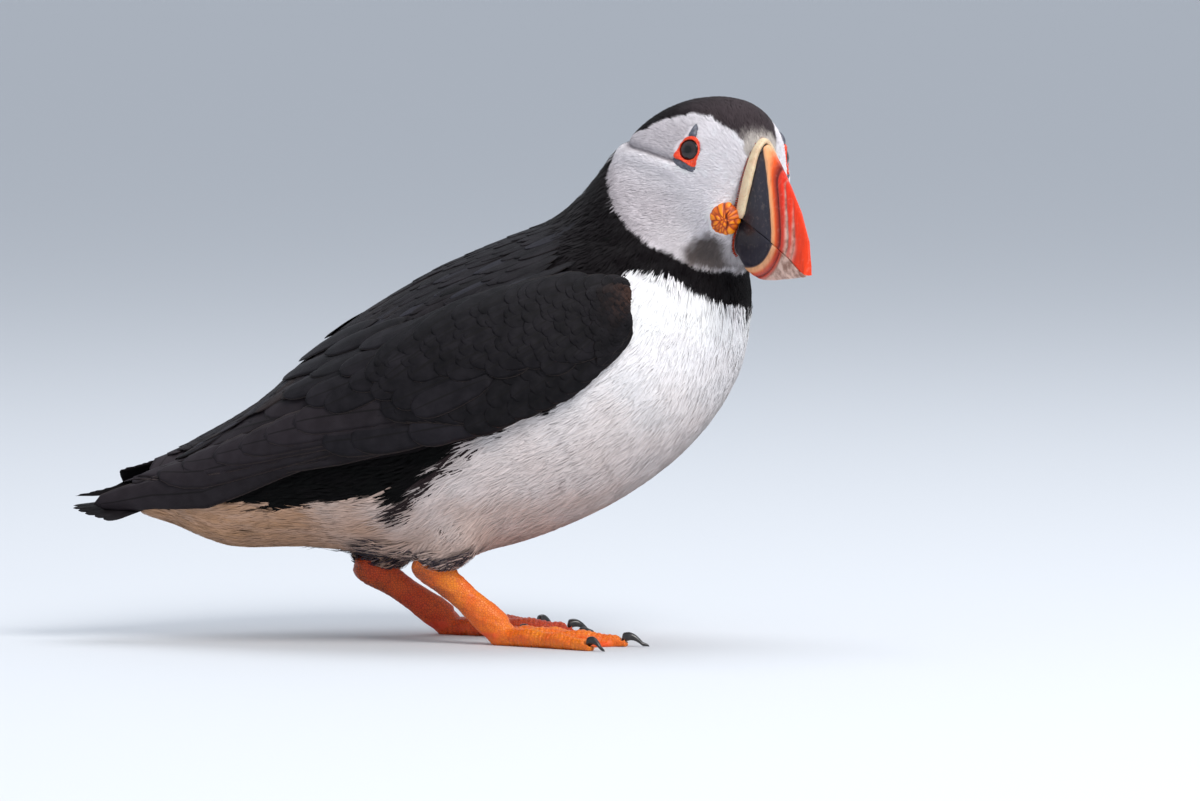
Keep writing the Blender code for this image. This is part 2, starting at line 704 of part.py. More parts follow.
trunk, neck, tail = make_trunk(), make_neck(), make_tail()
HEAD_SKIN, head = make_head()
bill = make_bill()
eye_rooms, rosettes, thighs, primaries = [], [], [], []
for side in (RIGHT, LEFT):
    eye_rooms += make_eye(side)
    rosettes.append(make_rosette(side))
    primaries.append(make_wing(side))
    leg, thigh = make_leg(side), make_thigh(side)
    thighs.append(thigh)
    make_foot(side, leg)
    boolean(leg, [grown(thigh, FINE_GAP), grown(trunk)], "DIFFERENCE")
boolean(head, eye_rooms + [grown(piece, FINE_GAP) for piece in rosettes], "DIFFERENCE")
for plate in bill:
    boolean(plate, [grown(piece, FINE_GAP) for piece in rosettes], "DIFFERENCE")
for thigh in thighs:
    boolean(thigh, [grown(trunk)], "DIFFERENCE")
boolean(trunk, [grown(head)], "DIFFERENCE")
boolean(neck, [grown(head)], "DIFFERENCE")
boolean(tail, [grown(piece) for piece in (trunk, *primaries)], "DIFFERENCE")
stand_on_origin()
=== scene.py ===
"""Looks of a life-size Atlantic puffin, a still figure on both feet with its head turned to its right.

Everything is worked out in millimetres in the bird's own frame: X towards the breast, Y to its
left, Z up from the floor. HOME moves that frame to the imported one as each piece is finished.
"""
import math

import bmesh
import bpy
import numpy as np
from mathutils import Matrix, Vector
from mathutils.bvhtree import BVHTree
from mathutils.kdtree import KDTree


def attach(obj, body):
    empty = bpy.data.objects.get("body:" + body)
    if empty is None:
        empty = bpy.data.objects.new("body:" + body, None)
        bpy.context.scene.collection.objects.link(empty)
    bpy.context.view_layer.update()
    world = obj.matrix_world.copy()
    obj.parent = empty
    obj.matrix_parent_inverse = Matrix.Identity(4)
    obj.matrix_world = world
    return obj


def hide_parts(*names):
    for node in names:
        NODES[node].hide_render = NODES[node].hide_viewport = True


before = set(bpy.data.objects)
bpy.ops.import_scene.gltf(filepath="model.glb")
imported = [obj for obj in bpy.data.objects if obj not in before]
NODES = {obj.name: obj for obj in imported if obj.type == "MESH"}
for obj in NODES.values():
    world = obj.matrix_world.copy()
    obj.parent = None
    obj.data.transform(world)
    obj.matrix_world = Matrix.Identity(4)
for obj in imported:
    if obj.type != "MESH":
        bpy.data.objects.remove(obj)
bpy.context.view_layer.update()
MM = 0.001
HOME = np.array([8.492, 2.088, 0.044])
RIGHT, LEFT = -1, 1
SIDE_NAMES = {RIGHT: "right", LEFT: "left"}
SPARSE = 1
MOST_TRIANGLES = 195000

# The body's sections from tail tip to hind crown: back x, z, belly x, z, half width.
BODY = np.array([
    (-114, 40.0, -113, 37.5, 3.0), (-102, 43.0, -99, 35.5, 7.0), (-90, 47.5, -86, 33.3, 12.0),
    (-78, 53.5, -69, 26.0, 19.0), (-64, 64.0, -49, 26.5, 27.0), (-49, 78.5, -27, 24.5, 34.0),
    (-32, 92.5, -2, 24.0, 39.5), (-11, 105.5, 21, 29.5, 42.5), (9, 114.5, 44, 40.0, 42.0),
    (25, 121.5, 64, 55.5, 37.5), (34.5, 131.5, 77.5, 75.0, 28.5), (42, 141.0, 80.5, 94.0, 19.5),
    (50, 146.0, 78, 106.0, 14.0), (57, 146.0, 74, 112.0, 9.0),
])
FULLNESS = 2.15
# The origin of the head's own frame, and in that frame the skull's middle: forward, left, up.
HEAD_PLACE = np.array([77.0, -14.0, 139.2])
SKULL = np.array([-4, 0, -10])
# The eyeball's radius, its rim's opening, its middle and the way it looks, in the head's frame.
EYE_RADIUS, EYE_OPENING = 4.6, 2.92
EYE_PLACE = np.array([-3.43, 13.05, -1.08])
EYE_AXIS = np.array([0.508, 0.835, 0.21])
ANKLES = {RIGHT: np.array([-11.5, -17.0, 22.5]), LEFT: np.array([-29.0, 16.0, 20.0])}
# The bill from its base to its tip, with the outlines of its ridge, its gape and its lower edge: forward, up.
BILL_BASE, BILL_TIP, LOWER_TIP, TIP_LEVEL = 12.9, 48.2, 45.6, -22.9
BILL_HALF_WIDTH, BILL_FULLNESS = 6.3, 1.62
CULMEN = ((12.9, 6.4), (18.0, 4.7), (27.5, -0.3), (37.5, -6.8), (44.5, -13.2), (47.2, -18.5), (48.2, -23.4))
GAPE = ((12.9, -14.6), (20.0, -15.8), (30.0, -17.7), (40.0, -20.2), (48.2, -23.0))
GONYS = ((12.9, -26.8), (17.0, -29.3), (22.0, -30.5), (28.0, -29.6), (36.0, -27.2), (48.2, -23.6))


# ---- frames and small sums


def turned(*steps):
    """A 3 x 3 rotation made from (degrees, axis) steps, the first one outermost."""
    whole = Matrix.Identity(3)
    for degrees, axis in steps:
        whole = whole @ Matrix.Rotation(math.radians(degrees), 3, axis)
    return np.array(whole)


HEAD_TURN = turned((-61, "Z"), (13, "Y"), (-5, "X"))


def in_head(points):
    """Points of the bird's frame in the head's own: forward, left, up."""
    return (points - HEAD_PLACE) @ HEAD_TURN


def from_head(points):
    return np.asarray(points) @ HEAD_TURN.T + HEAD_PLACE


def lengths(vectors):
    return np.linalg.norm(vectors, axis=-1)


def unit(vectors):
    return vectors / np.maximum(np.linalg.norm(vectors, axis=-1, keepdims=True), 1e-9)


def soft(low, high, x):
    """A smooth step from 0 at low to 1 at high, which may be the lesser."""
    t = np.clip((x - low) / (high - low), 0, 1)
    return t * t * (3 - 2 * t)


def hump(x, middle, width):
    """A smooth hump of height 1."""
    return np.exp(-(((x - middle) / width) ** 2))


def rounded(value, fullness):
    """A sine or cosine for a superellipse: 2 is round, more is boxy."""
    return np.sign(value) * np.abs(value) ** (2 / fullness)


def curve(rows, t):
    """A Catmull-Rom curve through evenly numbered rows, at stations t."""
    rows = np.asarray(rows, float)
    last = len(rows) - 1
    t = np.clip(np.asarray(t, float), 0, last)
    i = np.minimum(t.astype(int), last - 1)
    x = (t - i).reshape(t.shape + (1,) * (rows.ndim - 1))
    before, here, there, after = rows[np.maximum(i - 1, 0)], rows[i], rows[i + 1], rows[np.minimum(i + 2, last)]
    return 0.5 * (2 * here + (there - before) * x + (2 * before - 5 * here + 4 * there - after) * x ** 2
                  + (3 * here - before - 3 * there + after) * x ** 3)


def outline(points, along):
    """Height of a smooth outline given by its points, forward and up."""
    points = np.asarray(points, float)
    return curve(points[:, 1], np.interp(along, points[:, 0], np.arange(len(points))))


def edge_at(edge, x):
    """Where an edge given by its points stands at x, straight from point to point."""
    return np.interp(x, edge[:, 0], edge[:, 1])


def drift(points, size, seed=0):
    """Smooth seeded noise from -1 to 1 with features of about that size."""
    source = np.random.default_rng(seed)
    total = 0
    for _ in range(5):
        way = unit(source.normal(size=3)) * 2 * math.pi / (size * source.uniform(0.8, 2.2))
        total = total + np.sin(points @ way + source.uniform(0, 6.28))
    return total / 3


def inside(points, corners):
    """Signed distance into a closed outline in a plane, positive inside."""
    corners = np.asarray(corners, float)
    nearest = np.full(len(points), 1e9)
    within = np.zeros(len(points), bool)
    for a, b in zip(corners, np.roll(corners, -1, 0)):
        edge, away = b - a, points - a
        share = np.clip(away @ edge / (edge @ edge), 0, 1)
        nearest = np.minimum(nearest, lengths(away - share[:, None] * edge))
        crosses = (a[1] > points[:, 1]) != (b[1] > points[:, 1])
        rise = edge[1] if edge[1] else 1e-9
        within ^= crosses & (points[:, 0] < edge[0] * (points[:, 1] - a[1]) / rise + a[0])
    return np.where(within, nearest, -nearest)


def tone(red, green, blue):
    """A colour as the eye reads it, 0 to 255, in linear light."""
    c = np.array([red, green, blue]) / 255
    return np.where(c <= 0.04045, c / 12.92, ((c + 0.055) / 1.055) ** 2.4)


# ---- meshes


def node_copy(name, swell=0.0):
    """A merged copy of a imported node, in the bird's own frame."""
    bm = bmesh.new()
    bm.from_mesh(NODES[name].data)
    bmesh.ops.scale(bm, vec=(1 / MM,) * 3, verts=bm.verts)
    bmesh.ops.translate(bm, vec=Vector(-HOME), verts=bm.verts)
    bmesh.ops.remove_doubles(bm, verts=bm.verts, dist=0.01)
    bmesh.ops.recalc_face_normals(bm, faces=bm.faces)
    bm.normal_update()
    for vert, normal in [(v, v.normal.copy()) for v in bm.verts]:
        vert.co += normal * swell
    return bm


def joined(parts):
    """Several meshes in one, freed as they are used."""
    whole = bmesh.new()
    for part in parts:
        data = bpy.data.meshes.new("part")
        part.to_mesh(data)
        part.free()
        whole.from_mesh(data)
        bpy.data.meshes.remove(data)
    return whole


def smoothed(bm, verts, rounds):
    for _ in range(rounds):
        bmesh.ops.smooth_vert(bm, verts=verts, factor=0.5, use_axis_x=True, use_axis_y=True, use_axis_z=True)


def placed(name, data):
    """A new object in the scene."""
    made = bpy.data.objects.new(name, data)
    bpy.context.scene.collection.objects.link(made)
    return made


def remeshed(bm, voxel, rounds):
    """One even skin over all the solids in a mesh, smoothed."""
    data = bpy.data.meshes.new("coarse")
    bm.to_mesh(data)
    bm.free()
    holder = placed("coarse", data)
    grid = holder.modifiers.new("grid", "REMESH")
    grid.mode, grid.voxel_size = "VOXEL", voxel
    bpy.context.view_layer.update()
    fine = bmesh.new()
    fine.from_mesh(holder.evaluated_get(bpy.context.evaluated_depsgraph_get()).data)
    bpy.data.objects.remove(holder)
    bpy.data.meshes.remove(data)
    smoothed(fine, fine.verts, rounds)
    bmesh.ops.triangulate(fine, faces=fine.faces)
    bmesh.ops.recalc_face_normals(fine, faces=fine.faces)
    fine.normal_update()
    return fine


def corners_of(bm):
    """A mesh's corners and the normals there."""
    points = np.array([v.co for v in bm.verts])
    normals = np.array([v.normal for v in bm.verts])
    return points, normals


def move_corners(bm, points):
    for vert, point in zip(bm.verts, points):
        vert.co = point
    bm.normal_update()


def ball(around, along):
    """A unit ball, with each corner's share of the way from pole to pole and its turn round them."""
    bm = bmesh.new()
    bmesh.ops.create_uvsphere(bm, u_segments=around, v_segments=along, radius=1)
    points = np.array([v.co for v in bm.verts])
    return bm, np.arccos(np.clip(points[:, 2], -1, 1)) / math.pi, np.arctan2(points[:, 1], points[:, 0])


def moulded(around, along, place):
    """A closed shape: place(share, turn) gives the points for each share along it and turn round it."""
    bm, share, turn = ball(around, along)
    move_corners(bm, place(share, turn))
    bmesh.ops.recalc_face_normals(bm, faces=bm.faces)
    bm.normal_update()
    return bm


def finish_piece(name, bm, material, slot, nodes=(), masks=None):
    """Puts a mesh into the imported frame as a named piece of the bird."""
    bmesh.ops.translate(bm, vec=Vector(HOME), verts=bm.verts)
    bmesh.ops.scale(bm, vec=(MM,) * 3, verts=bm.verts)
    data = bpy.data.meshes.new(name)
    bm.to_mesh(data)
    bm.free()
    data.shade_smooth()
    for mask, values in (masks or {}).items():
        paint(data, mask, values)
    return add_piece(name, data, material, slot, nodes)


def paint(data, mask, values):
    """Stores a value or a colour at each corner of a mesh."""
    values = np.asarray(values, np.float32)
    if values.ndim == 1:
        data.attributes.new(mask, "FLOAT", "POINT").data.foreach_set("value", values)
    else:
        whole = np.ones((len(values), 4), np.float32)
        whole[:, :3] = values
        data.attributes.new(mask, "FLOAT_COLOR", "POINT").data.foreach_set("color", whole.ravel())


def add_piece(name, data, material, slot, nodes=()):
    """A visible piece of the bird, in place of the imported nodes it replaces."""
    data.materials.append(material)
    piece = placed(name, data)
    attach(piece, "root")
    if nodes:
        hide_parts(*nodes)
    return piece


# ---- tufts and vanes


def spindle(sides, steps):
    """The corners of a closed spindle, as the step along it and the turn round it, and its faces."""
    bm, share, turn = ball(sides, steps)
    bmesh.ops.triangulate(bm, faces=bm.faces)
    faces = np.array([[v.index for v in f.verts] for f in bm.faces])
    bm.free()
    return np.rint(share * steps).astype(int), turn, faces


def array_piece(name, pattern, points, tints, roots, material, slot, nodes=(), patch=0.003, facing=None):
    """One piece from many copies of a spindle.

    points holds each copy's corners, tints each copy's colour at every step, and roots each
    copy's place on the unwrapped skin. facing gives the corners' shading normals.
    """
    step, turn, faces = pattern
    steps = step.max()
    count, corners = points.shape[:2]
    data = bpy.data.meshes.new(name)
    data.vertices.add(count * corners)
    data.vertices.foreach_set("co", ((points + HOME) * MM).astype(np.float32).ravel())
    loops = (faces[None] + (np.arange(count) * corners)[:, None, None]).ravel().astype(np.int32)
    total = count * len(faces)
    data.loops.add(len(loops))
    data.loops.foreach_set("vertex_index", loops)
    data.polygons.add(total)
    data.polygons.foreach_set("loop_start", np.arange(0, total * 3, 3, dtype=np.int32))
    data.polygons.foreach_set("use_smooth", np.ones(total, bool))
    data.update()
    paint(data, "Plumage", tints[:, step].reshape(-1, 3))
    across, along = np.cos(turn) / 2, step / steps
    own = np.stack([across, along - 0.5], 1) * patch
    bake = np.clip(roots[:, None] + own[None], 0.0005, 0.9995).reshape(-1, 2)
    vane = np.tile(np.stack([across + 0.5, along], 1), (count, 1))
    for layer, places in (("Vane", vane), ("OFBake", bake)):
        data.uv_layers.new(name=layer).data.foreach_set("uv", places[loops].astype(np.float32).ravel())
    data.uv_layers.active = data.uv_layers["Vane"]
    if facing is not None:
        data.normals_split_custom_set_from_vertices(facing.reshape(-1, 3))
    return add_piece(name, data, material, slot, nodes)


# ---- markings and painted shade

BLACK = tone(20, 17, 19)
CROWN = tone(66, 57, 60)
WHITE = tone(246, 243, 245)
CHEEK = tone(243, 237, 241)
# The belly's and vent's colours: partly the plumage's own warm tint and stain, partly painted shade and painted warm
# light reflected from below.
BELLY = tone(212, 172, 150)
BUFF = tone(198, 153, 117)
SMUDGE = tone(74, 64, 60)
FROST = tone(206, 197, 190)
# The wrist's place along the body: the collar's edge is in front of it, the flank's behind.
WRIST = 44.3
# Lower edge of the black flank, from the tail to the wrist, and of the collar, as x, z.
FLANK_EDGE = np.array([(-115, 39.5), (-90, 38.3), (-74, 40), (-61, 38.3), (-49, 38.3), (-33, 41), (-26.5, 42.5),
                       (-23.6, 37.5), (-20.5, 38), (-17.5, 41), (-12.9, 46), (-7.6, 51.5), (-1.5, 56), (6, 59.5),
                       (15, 64), (31, 73), (40, 85), (44, 106)])
COLLAR_EDGE = np.array([(44, 105), (52, 103.9), (56.3, 102.2), (64.5, 98.4), (71.7, 95.2), (79, 92.6), (82, 95.6)])
# The white cheek as seen from the side of the head: forward, up.
CHEEK_EDGE = ((-8.2, 9.0), (-2.5, 9.3), (4.7, 7.6), (9.3, 5.1), (12.6, -1.1), (15.5, -7.7), (16, -15), (15, -22.4),
              (13, -29), (10, -31.9), (7.4, -33), (6.6, -30.4), (5.7, -29.2), (2.2, -26.8), (-2.3, -24.4),
              (-9.4, -20.2), (-18.4, -14.6), (-26.4, -10.6), (-28.2, -7.5), (-27.8, -4.7), (-24.8, -1.9),
              (-19.1, 0.6), (-14, 5.5))
# The cheek's lower edge as seen from below: sideways, up.
CHIN_EDGE = np.array([(0, -33.6), (7, -33.2), (13, -31.9), (16, -30.8), (21, -29.4), (24.5, -28.1), (28, -27.1),
                      (32, -24.8), (34, -20)])
# The dusky patch low on the cheek: forward, up.
SMUDGE_EDGE = ((4.4, -29.6), (4.9, -26.5), (5.8, -24.2), (8, -22.6), (10.5, -23.0), (12.8, -25), (13.5, -29.5),
               (9, -32), (6.3, -31.2))
# The fold of skin behind the eye: forward, up.
CREASE = np.array([(-26.5, -4.9), (-20.5, -5.0), (-13.1, -4.4), (-8.0, -4.6), (-4.2, -4.6)])


LOOK_DOWN = 0.052


def seen_height(points):
    """Height at which points of either side show to someone who looks three degrees down on that side."""
    return points[:, 2] - LOOK_DOWN * np.abs(points[:, 1])


def below_black(points):
    """How far below the edges of the black flank and collar each point shows."""
    x = points[:, 0]
    return np.where(x < WRIST, edge_at(FLANK_EDGE, x), edge_at(COLLAR_EDGE, x)) - seen_height(points)


def near_line(points, line):
    """Distance to a line given by its points, and how far above it each point stands."""
    best, above = np.full(len(points), 1e9), np.zeros(len(points))
    for a, b in zip(line, line[1:]):
        edge = b - a
        share = np.clip((points - a) @ edge / (edge @ edge), 0, 1)
        away = points - a - share[:, None] * edge
        far = lengths(away)
        above = np.where(far < best, away[:, -1], above)
        best = np.minimum(best, far)
    return best, above


def dark_locks(points):
    """How thick the dark hairs grow that hang over the thigh from the end of the black flank."""
    x = points[:, 0]
    below = edge_at(FLANK_EDGE, x) - seen_height(points)
    return soft(9, 1, below) * soft(-26, -22, x) * soft(8, -6, x)


# The top of the bill's fleshy strip, where the forehead's feathers meet it: forward, sideways, up.
STRIP_ARCH = np.array([(12.6, 6.6, -0.6), (11.6, 6.2, 3.4), (10.6, 4.0, 6.3), (10.2, 0, 7.4)])


def mirrored(points):
    """Head points folded onto one side."""
    return points * (1, 0, 1) + np.abs(points) * (0, 1, 0)


def plumage(points, spread=1.0):
    """The colour of the plumage at points of the body, in linear light, with painted shade low on the body."""
    x, z = points[:, 0], seen_height(points)
    fine, broad = drift(points, 2.4, 1), drift(points, 11, 2)
    # Painted shade: the black feathers darker low on the flank and towards the tail.
    painted_flank_shade = soft(68, 54, z) * soft(14, 0, x)
    colour = (BLACK * (1 + 0.18 * broad)[:, None] + 0.003 * fine[:, None]) * (1 - 0.7 * painted_flank_shade)[:, None]

    lie = body_places(points)
    streak = np.sin(lie[:, 1] * 95 + 2.5 * broad) + np.sin(lie[:, 1] * 211 + 1.3 * fine)
    flank = edge_at(FLANK_EDGE, x) - z + spread * (0.8 * streak + 0.4 * fine)
    flank = flank - 5 * spread * (hump(x, 8, 3) + hump(x, 23, 4.5)) * soft(-0.2, 1.2, streak)
    collar = edge_at(COLLAR_EDGE, x) - z + spread * (0.5 * fine + 0.35 * broad)
    pale = soft(-0.5, 0.5, np.where(x < WRIST, flank, collar))
    # The white turns to BELLY low down and to BUFF towards the tail: partly the plumage's own tint and stain, partly
    # painted shade and painted warm light reflected from below.
    rear = soft(-8, -68, x + 6 * broad)
    low = 0.45 * soft(84, 48, z + 5 * broad) + 0.55 * soft(50, 24, z + 5 * broad)
    white = WHITE + (BELLY - WHITE) * np.clip(0.75 * low + 0.35 * rear, 0, 1)[:, None]
    white = white + (BUFF - white) * (rear * (0.75 + 0.25 * fine))[:, None]
    white = white * (1 - 0.10 * soft(0.2, 1, broad) * (1 + 0.5 * streak))[:, None]
    # Painted shade: the white a little darker towards the bottom.
    white = white * (1 - 0.13 * soft(92, 58, z))[:, None]
    white = white + (tone(90, 76, 72) - white) * (0.45 * dark_locks(points))[:, None]
    colour = colour + (white - colour) * pale[:, None]
    return on_head(points, colour, fine, broad, spread)


def on_head(points, colour, fine, broad, spread):
    """The body's colours with the crown, the frosted forehead and the white cheek laid over them, with painted shade on
    the cheek.
    """
    place = mirrored(in_head(points))
    f, _, u = place.T
    about = lengths((place - (-6, 0, -9)) / (1, 1, 0.95))
    top = soft(0, 9, u + 0.25 * f) * soft(46, 34, about)
    colour = colour + (CROWN * (1 + 0.10 * fine)[:, None] - colour) * (top * soft(-34, 4, f))[:, None]
    frost = soft(5.6, 0.8, near_line(place, STRIP_ARCH)[0] + 0.9 * fine + 0.5 * broad)
    colour = colour + (FROST - colour) * (0.9 * frost)[:, None]

    chin = u - edge_at(CHIN_EDGE, place[:, 1])
    depth = np.minimum(inside(place[:, (0, 2)], CHEEK_EDGE), chin) + spread * (0.3 * fine + 0.1)
    face = soft(-0.3, 0.3, depth) * soft(48, 42, about)
    away, above = near_line(place[:, (0, 2)], CREASE)
    cheek = np.tile(CHEEK, (len(points), 1)) * (1 + 0.035 * fine + 0.03 * broad)[:, None]
    # Painted shade on the cheek: greyer above the fold behind the eye, over its lower part and near its lower edge, a
    # dark line in the fold, and a pinker grey where shaded.
    shade = 0.34 * soft(-0.4, 1.0, above) * soft(0, -7, f) * soft(13, 3, u)
    shade = shade + 0.40 * soft(-5, -20, u + 0.25 * f) * soft(9, -4, f) * soft(-30, -20, f)
    shade = shade + 0.14 * soft(3.0, 0.5, depth) * soft(-6, -14, u)
    shade = shade + 0.6 * hump(above, 0.15, 0.45) * soft(1.2, 0.6, away)
    cheek = cheek * (1 - np.clip(shade, 0, 0.6))[:, None] * (1 - 0.04 * soft(0.1, 0.5, shade)[:, None] * (0, 1, 0.6))
    dusky = soft(-1.6, 1.2, inside(place[:, (0, 2)], SMUDGE_EDGE) + 0.7 * fine)
    dusky = dusky * soft(18, 14, place[:, 1]) * (1 - 0.5 * soft(9, 11.5, f))
    cheek = cheek + (SMUDGE * (1 + 0.25 * fine)[:, None] - cheek) * (0.94 * dusky)[:, None]
    return np.clip(colour + (cheek - colour) * face[:, None], 0.002, 0.9)


# ---- the lie of the plumage

SPINE_STEP, SPINE_ROWS = 0.05, 25


def side_finder(places):
    """A finder for the nearest of many places given as x, z."""
    finder = KDTree(len(places))
    for number, (x, z) in enumerate(places):
        finder.insert((x, 0, z), number)
    finder.balance()
    return finder


def found(finder, places):
    """The numbers of the nearest places."""
    return np.array([finder.find((x, 0, z))[1] for x, z in places])


def spine_map():
    """A finder for the body's stations from the side, with the way towards the tail at each."""
    stations = np.arange(0, len(BODY) - 1, SPINE_STEP)
    rows = curve(BODY, stations)
    shares = np.linspace(-0.1, 1.1, SPINE_ROWS)
    flat = rows[:, None, :2] + (rows[:, None, 2:4] - rows[:, None, :2]) * shares[None, :, None]
    ways = -unit(np.gradient(flat, axis=0))
    return side_finder(flat.reshape(-1, 2)), stations, shares, ways.reshape(-1, 2)


SPINE, STATIONS, SHARES, SPINE_WAYS = spine_map()


def body_places(points):
    """Each point's station along the body and its share from back to belly, both from 0 to 1."""
    numbers = found(SPINE, points[:, (0, 2)])
    return np.stack([STATIONS[numbers // SPINE_ROWS] / len(BODY), SHARES[numbers % SPINE_ROWS]], 1)


def flow(points, normals):
    """The way feathers lie at points of the skin: back from the bill on the head, then to the tail."""
    numbers = found(SPINE, points[:, (0, 2)])
    body = np.insert(SPINE_WAYS[numbers], 1, 0, axis=1)
    place = in_head(points)
    head = unit(place - (15.0, 0, -7.0)) @ HEAD_TURN.T
    share = soft(36, 27, lengths(place - SKULL))[:, None]
    way = unit(body * (1 - share) + head * share)
    for ankle in ANKLES.values():
        near = soft(40, 10, lengths((points - ankle - (7, 0, 14)) / (1, 1, 0.9)))[:, None]
        way = unit(way * (1 - near) + np.array([-0.66, 0, -0.75]) * near)
    way = way - (way * normals).sum(1, keepdims=True) * normals
    return unit(way)


# ---- the skin

FLESH = ("trunk", "neck", "head", "thigh_left", "thigh_right")
SOCKETS = tuple(f"{part}_{side}" for part in ("eye", "eye_ring", "eye_horn", "eye_plate", "gape_rosette")
                for side in SIDE_NAMES.values())


def coat_depth(points):
    """How far the skin lies under the tips of the plumage."""
    on_body, on_face, least = 1.6, 0.75, 0.6
    depth = on_body + (on_face - on_body) * soft(40, 30, lengths(in_head(points) - SKULL))
    for ankle in ANKLES.values():
        depth = depth - 0.8 * soft(20, 11, lengths(points - ankle - (4, 0, 5)))
    return np.maximum(depth, least)


def make_skin():
    """One closed skin over head, neck, trunk and thighs, under the plumage by its depth."""
    bm = remeshed(joined([node_copy(n, 1.2 if "thigh" in n else 0.45) for n in FLESH + SOCKETS]), 1.15, 6)
    rest = [v for v in bm.verts if min((v.co - Vector(a)).length for a in ANKLES.values()) > 17]
    smoothed(bm, rest, 37)
    bm.normal_update()
    points, normals = corners_of(bm)
    points = points - normals * coat_depth(points)[:, None]
    place = mirrored(in_head(points))
    # A hollow for each eyeball, a slight swelling of the throat, and the fold behind the eye.
    away = place - EYE_PLACE
    off = lengths(np.cross(away, unit(EYE_AXIS)))
    points = points - normals * (1.6 * soft(3.5, 2.7, off) * (away @ EYE_AXIS > 0))[:, None]
    points = points + normals * (1.5 * hump(lengths(points - (81, -8, 103)), 0, 13))[:, None]
    away, above = near_line(place[:, (0, 2)], CREASE)
    beyond = np.sqrt(np.maximum(away ** 2 - above ** 2, 0))
    fold = -0.9 * hump(above, 0.3, 0.9) + 0.5 * hump(above, -2.4, 2.0)
    fold = fold * soft(4.5, 1.5, beyond) * soft(10, 14, place[:, 1])
    move_corners(bm, points + normals * fold[:, None])
    return bm


SKIN_MESH = make_skin()
SKIN = BVHTree.FromBMesh(SKIN_MESH)


def on_skin(points):
    """The nearest places on the skin, and the skin's normals there."""
    hits = [SKIN.find_nearest(p) for p in points.tolist()]
    return np.array([hit[0] for hit in hits]), np.array([hit[1] for hit in hits])


def scattered(per_square_mm, chance):
    """Random places all over the skin, at a density given for each of its faces' middles."""
    points, normals = corners_of(SKIN_MESH)
    faces = np.array([[v.index for v in f.verts] for f in SKIN_MESH.faces])
    a, b, c = (points[faces[:, k]] for k in range(3))
    areas = lengths(np.cross(b - a, c - a)) / 2
    wanted = areas * per_square_mm((a + b + c) / 3) / SPARSE
    counts = chance.poisson(wanted)
    picked = np.repeat(np.arange(len(faces)), counts)
    u, v = chance.random(len(picked)), chance.random(len(picked))
    over = u + v > 1
    u, v = np.where(over, 1 - u, u), np.where(over, 1 - v, v)
    w = 1 - u - v
    place = a[picked] * w[:, None] + b[picked] * u[:, None] + c[picked] * v[:, None]
    tilt = normals[faces[picked]]
    return place, unit(tilt[:, 0] * w[:, None] + tilt[:, 1] * u[:, None] + tilt[:, 2] * v[:, None])


# ---- the coat

# Each kind of tuft: length and width in mm, how far its tip stands off the skin, how many lie
# on a square mm, its steps along, and how far its way strays in degrees.
COATS = {
    "face": (2.7, 0.28, 0.50, 9.0, 2, 9, "head_plumage"),
    "crown": (3.2, 0.36, 0.55, 6.5, 2, 8, "head_plumage"),
    "neck": (5.5, 0.60, 1.2, 2.6, 3, 7, "neck_plumage"),
    "breast": (9.0, 0.64, 0.9, 3.2, 3, 6, "body_plumage"),
    "belly": (11.5, 0.68, 1.1, 2.9, 3, 7, "body_plumage"),
    "back": (8.0, 1.0, 1.3, 1.1, 3, 6, "body_plumage"),
    "thigh": (14.0, 0.80, 2.4, 2.6, 3, 9, "thigh_plumage"),
}


def coat_kind(points):
    """The kind of coat at each place, as its number in COATS."""
    face, crown, neck, breast, belly, back, thigh = range(len(COATS))
    place = mirrored(in_head(points))
    head = lengths(place - SKULL) < 33
    x, z = points[:, 0], seen_height(points)
    pale = below_black(points) > -2
    kind = np.where(pale, breast, back)
    kind = np.where(pale & (x + 0.9 * z < 62), belly, kind)
    kind = np.where(~pale & (x > 36) & (z > 92), neck, kind)
    kind = np.where(head, crown, kind)
    leg = np.min([lengths((points - a - (5, 0, 8)) / (1.3, 0.8, 1)) for a in ANKLES.values()], axis=0) < 12
    kind = np.where(leg, thigh, kind)
    return np.where(head & (inside(place[:, (0, 2)], CHEEK_EDGE) > -0.4), face, kind)


def bald(points):
    """Where nothing grows: the eyes and their plates, the gape's rosette and the bill's base."""
    place = mirrored(in_head(points))
    out = unit(EYE_AXIS)
    across = unit(np.cross(out, (0, 0, 1)))
    rise = np.cross(across, out)
    away = place - EYE_PLACE
    a, b = away @ across, away @ rise
    near = (away @ out > 0) & (np.abs(away @ out) < 9)
    eye = (a / 4.1) ** 2 + ((b + 0.8) / 4.4) ** 2 < 1
    horn = (np.abs(a + 0.4) < 1.6) & (b > 0) & (b < 6.8)
    rosette = lengths((place - (12.5, 8.8, -16.3)) / (1, 1, 1.1)) < 4.6
    front = (place[:, 0] > 12.5) & (place[:, 1] < 9) & (place[:, 2] > -29.5)
    return (near & (eye | horn)) | rosette | front


def grown(kind, roots, normals, size, chance):
    """Each tuft's line over the skin from its root, with the skin's normals beside it."""
    length, _, rise, _, steps, stray, _ = COATS[kind]
    count = len(roots)
    turn = np.radians(chance.normal(0, stray, count) + 1.3 * stray * drift(roots, 7, 8))
    bend = np.radians(chance.normal(0, stray, count))
    line, ups = [roots - normals * 0.15], [normals]
    spot, normal = roots, normals
    for k in range(steps):
        way = flow(spot, normal)
        side = np.cross(way, normal)
        swing = turn + bend * (k / steps)
        way = way * np.cos(swing)[:, None] + side * np.sin(swing)[:, None]
        loose = spot + way * (length * size / steps)[:, None]
        spot, normal = on_skin(loose)
        if kind == "thigh":
            spot = spot * 0.35 + loose * 0.65
        lift = rise * (0.35 + 0.65 * chance.random(count)) * math.sin((k + 1) / steps * math.pi / 2)
        line.append(spot + normal * lift[:, None])
        ups.append(normal)
    return np.stack(line, 1), np.stack(ups, 1)


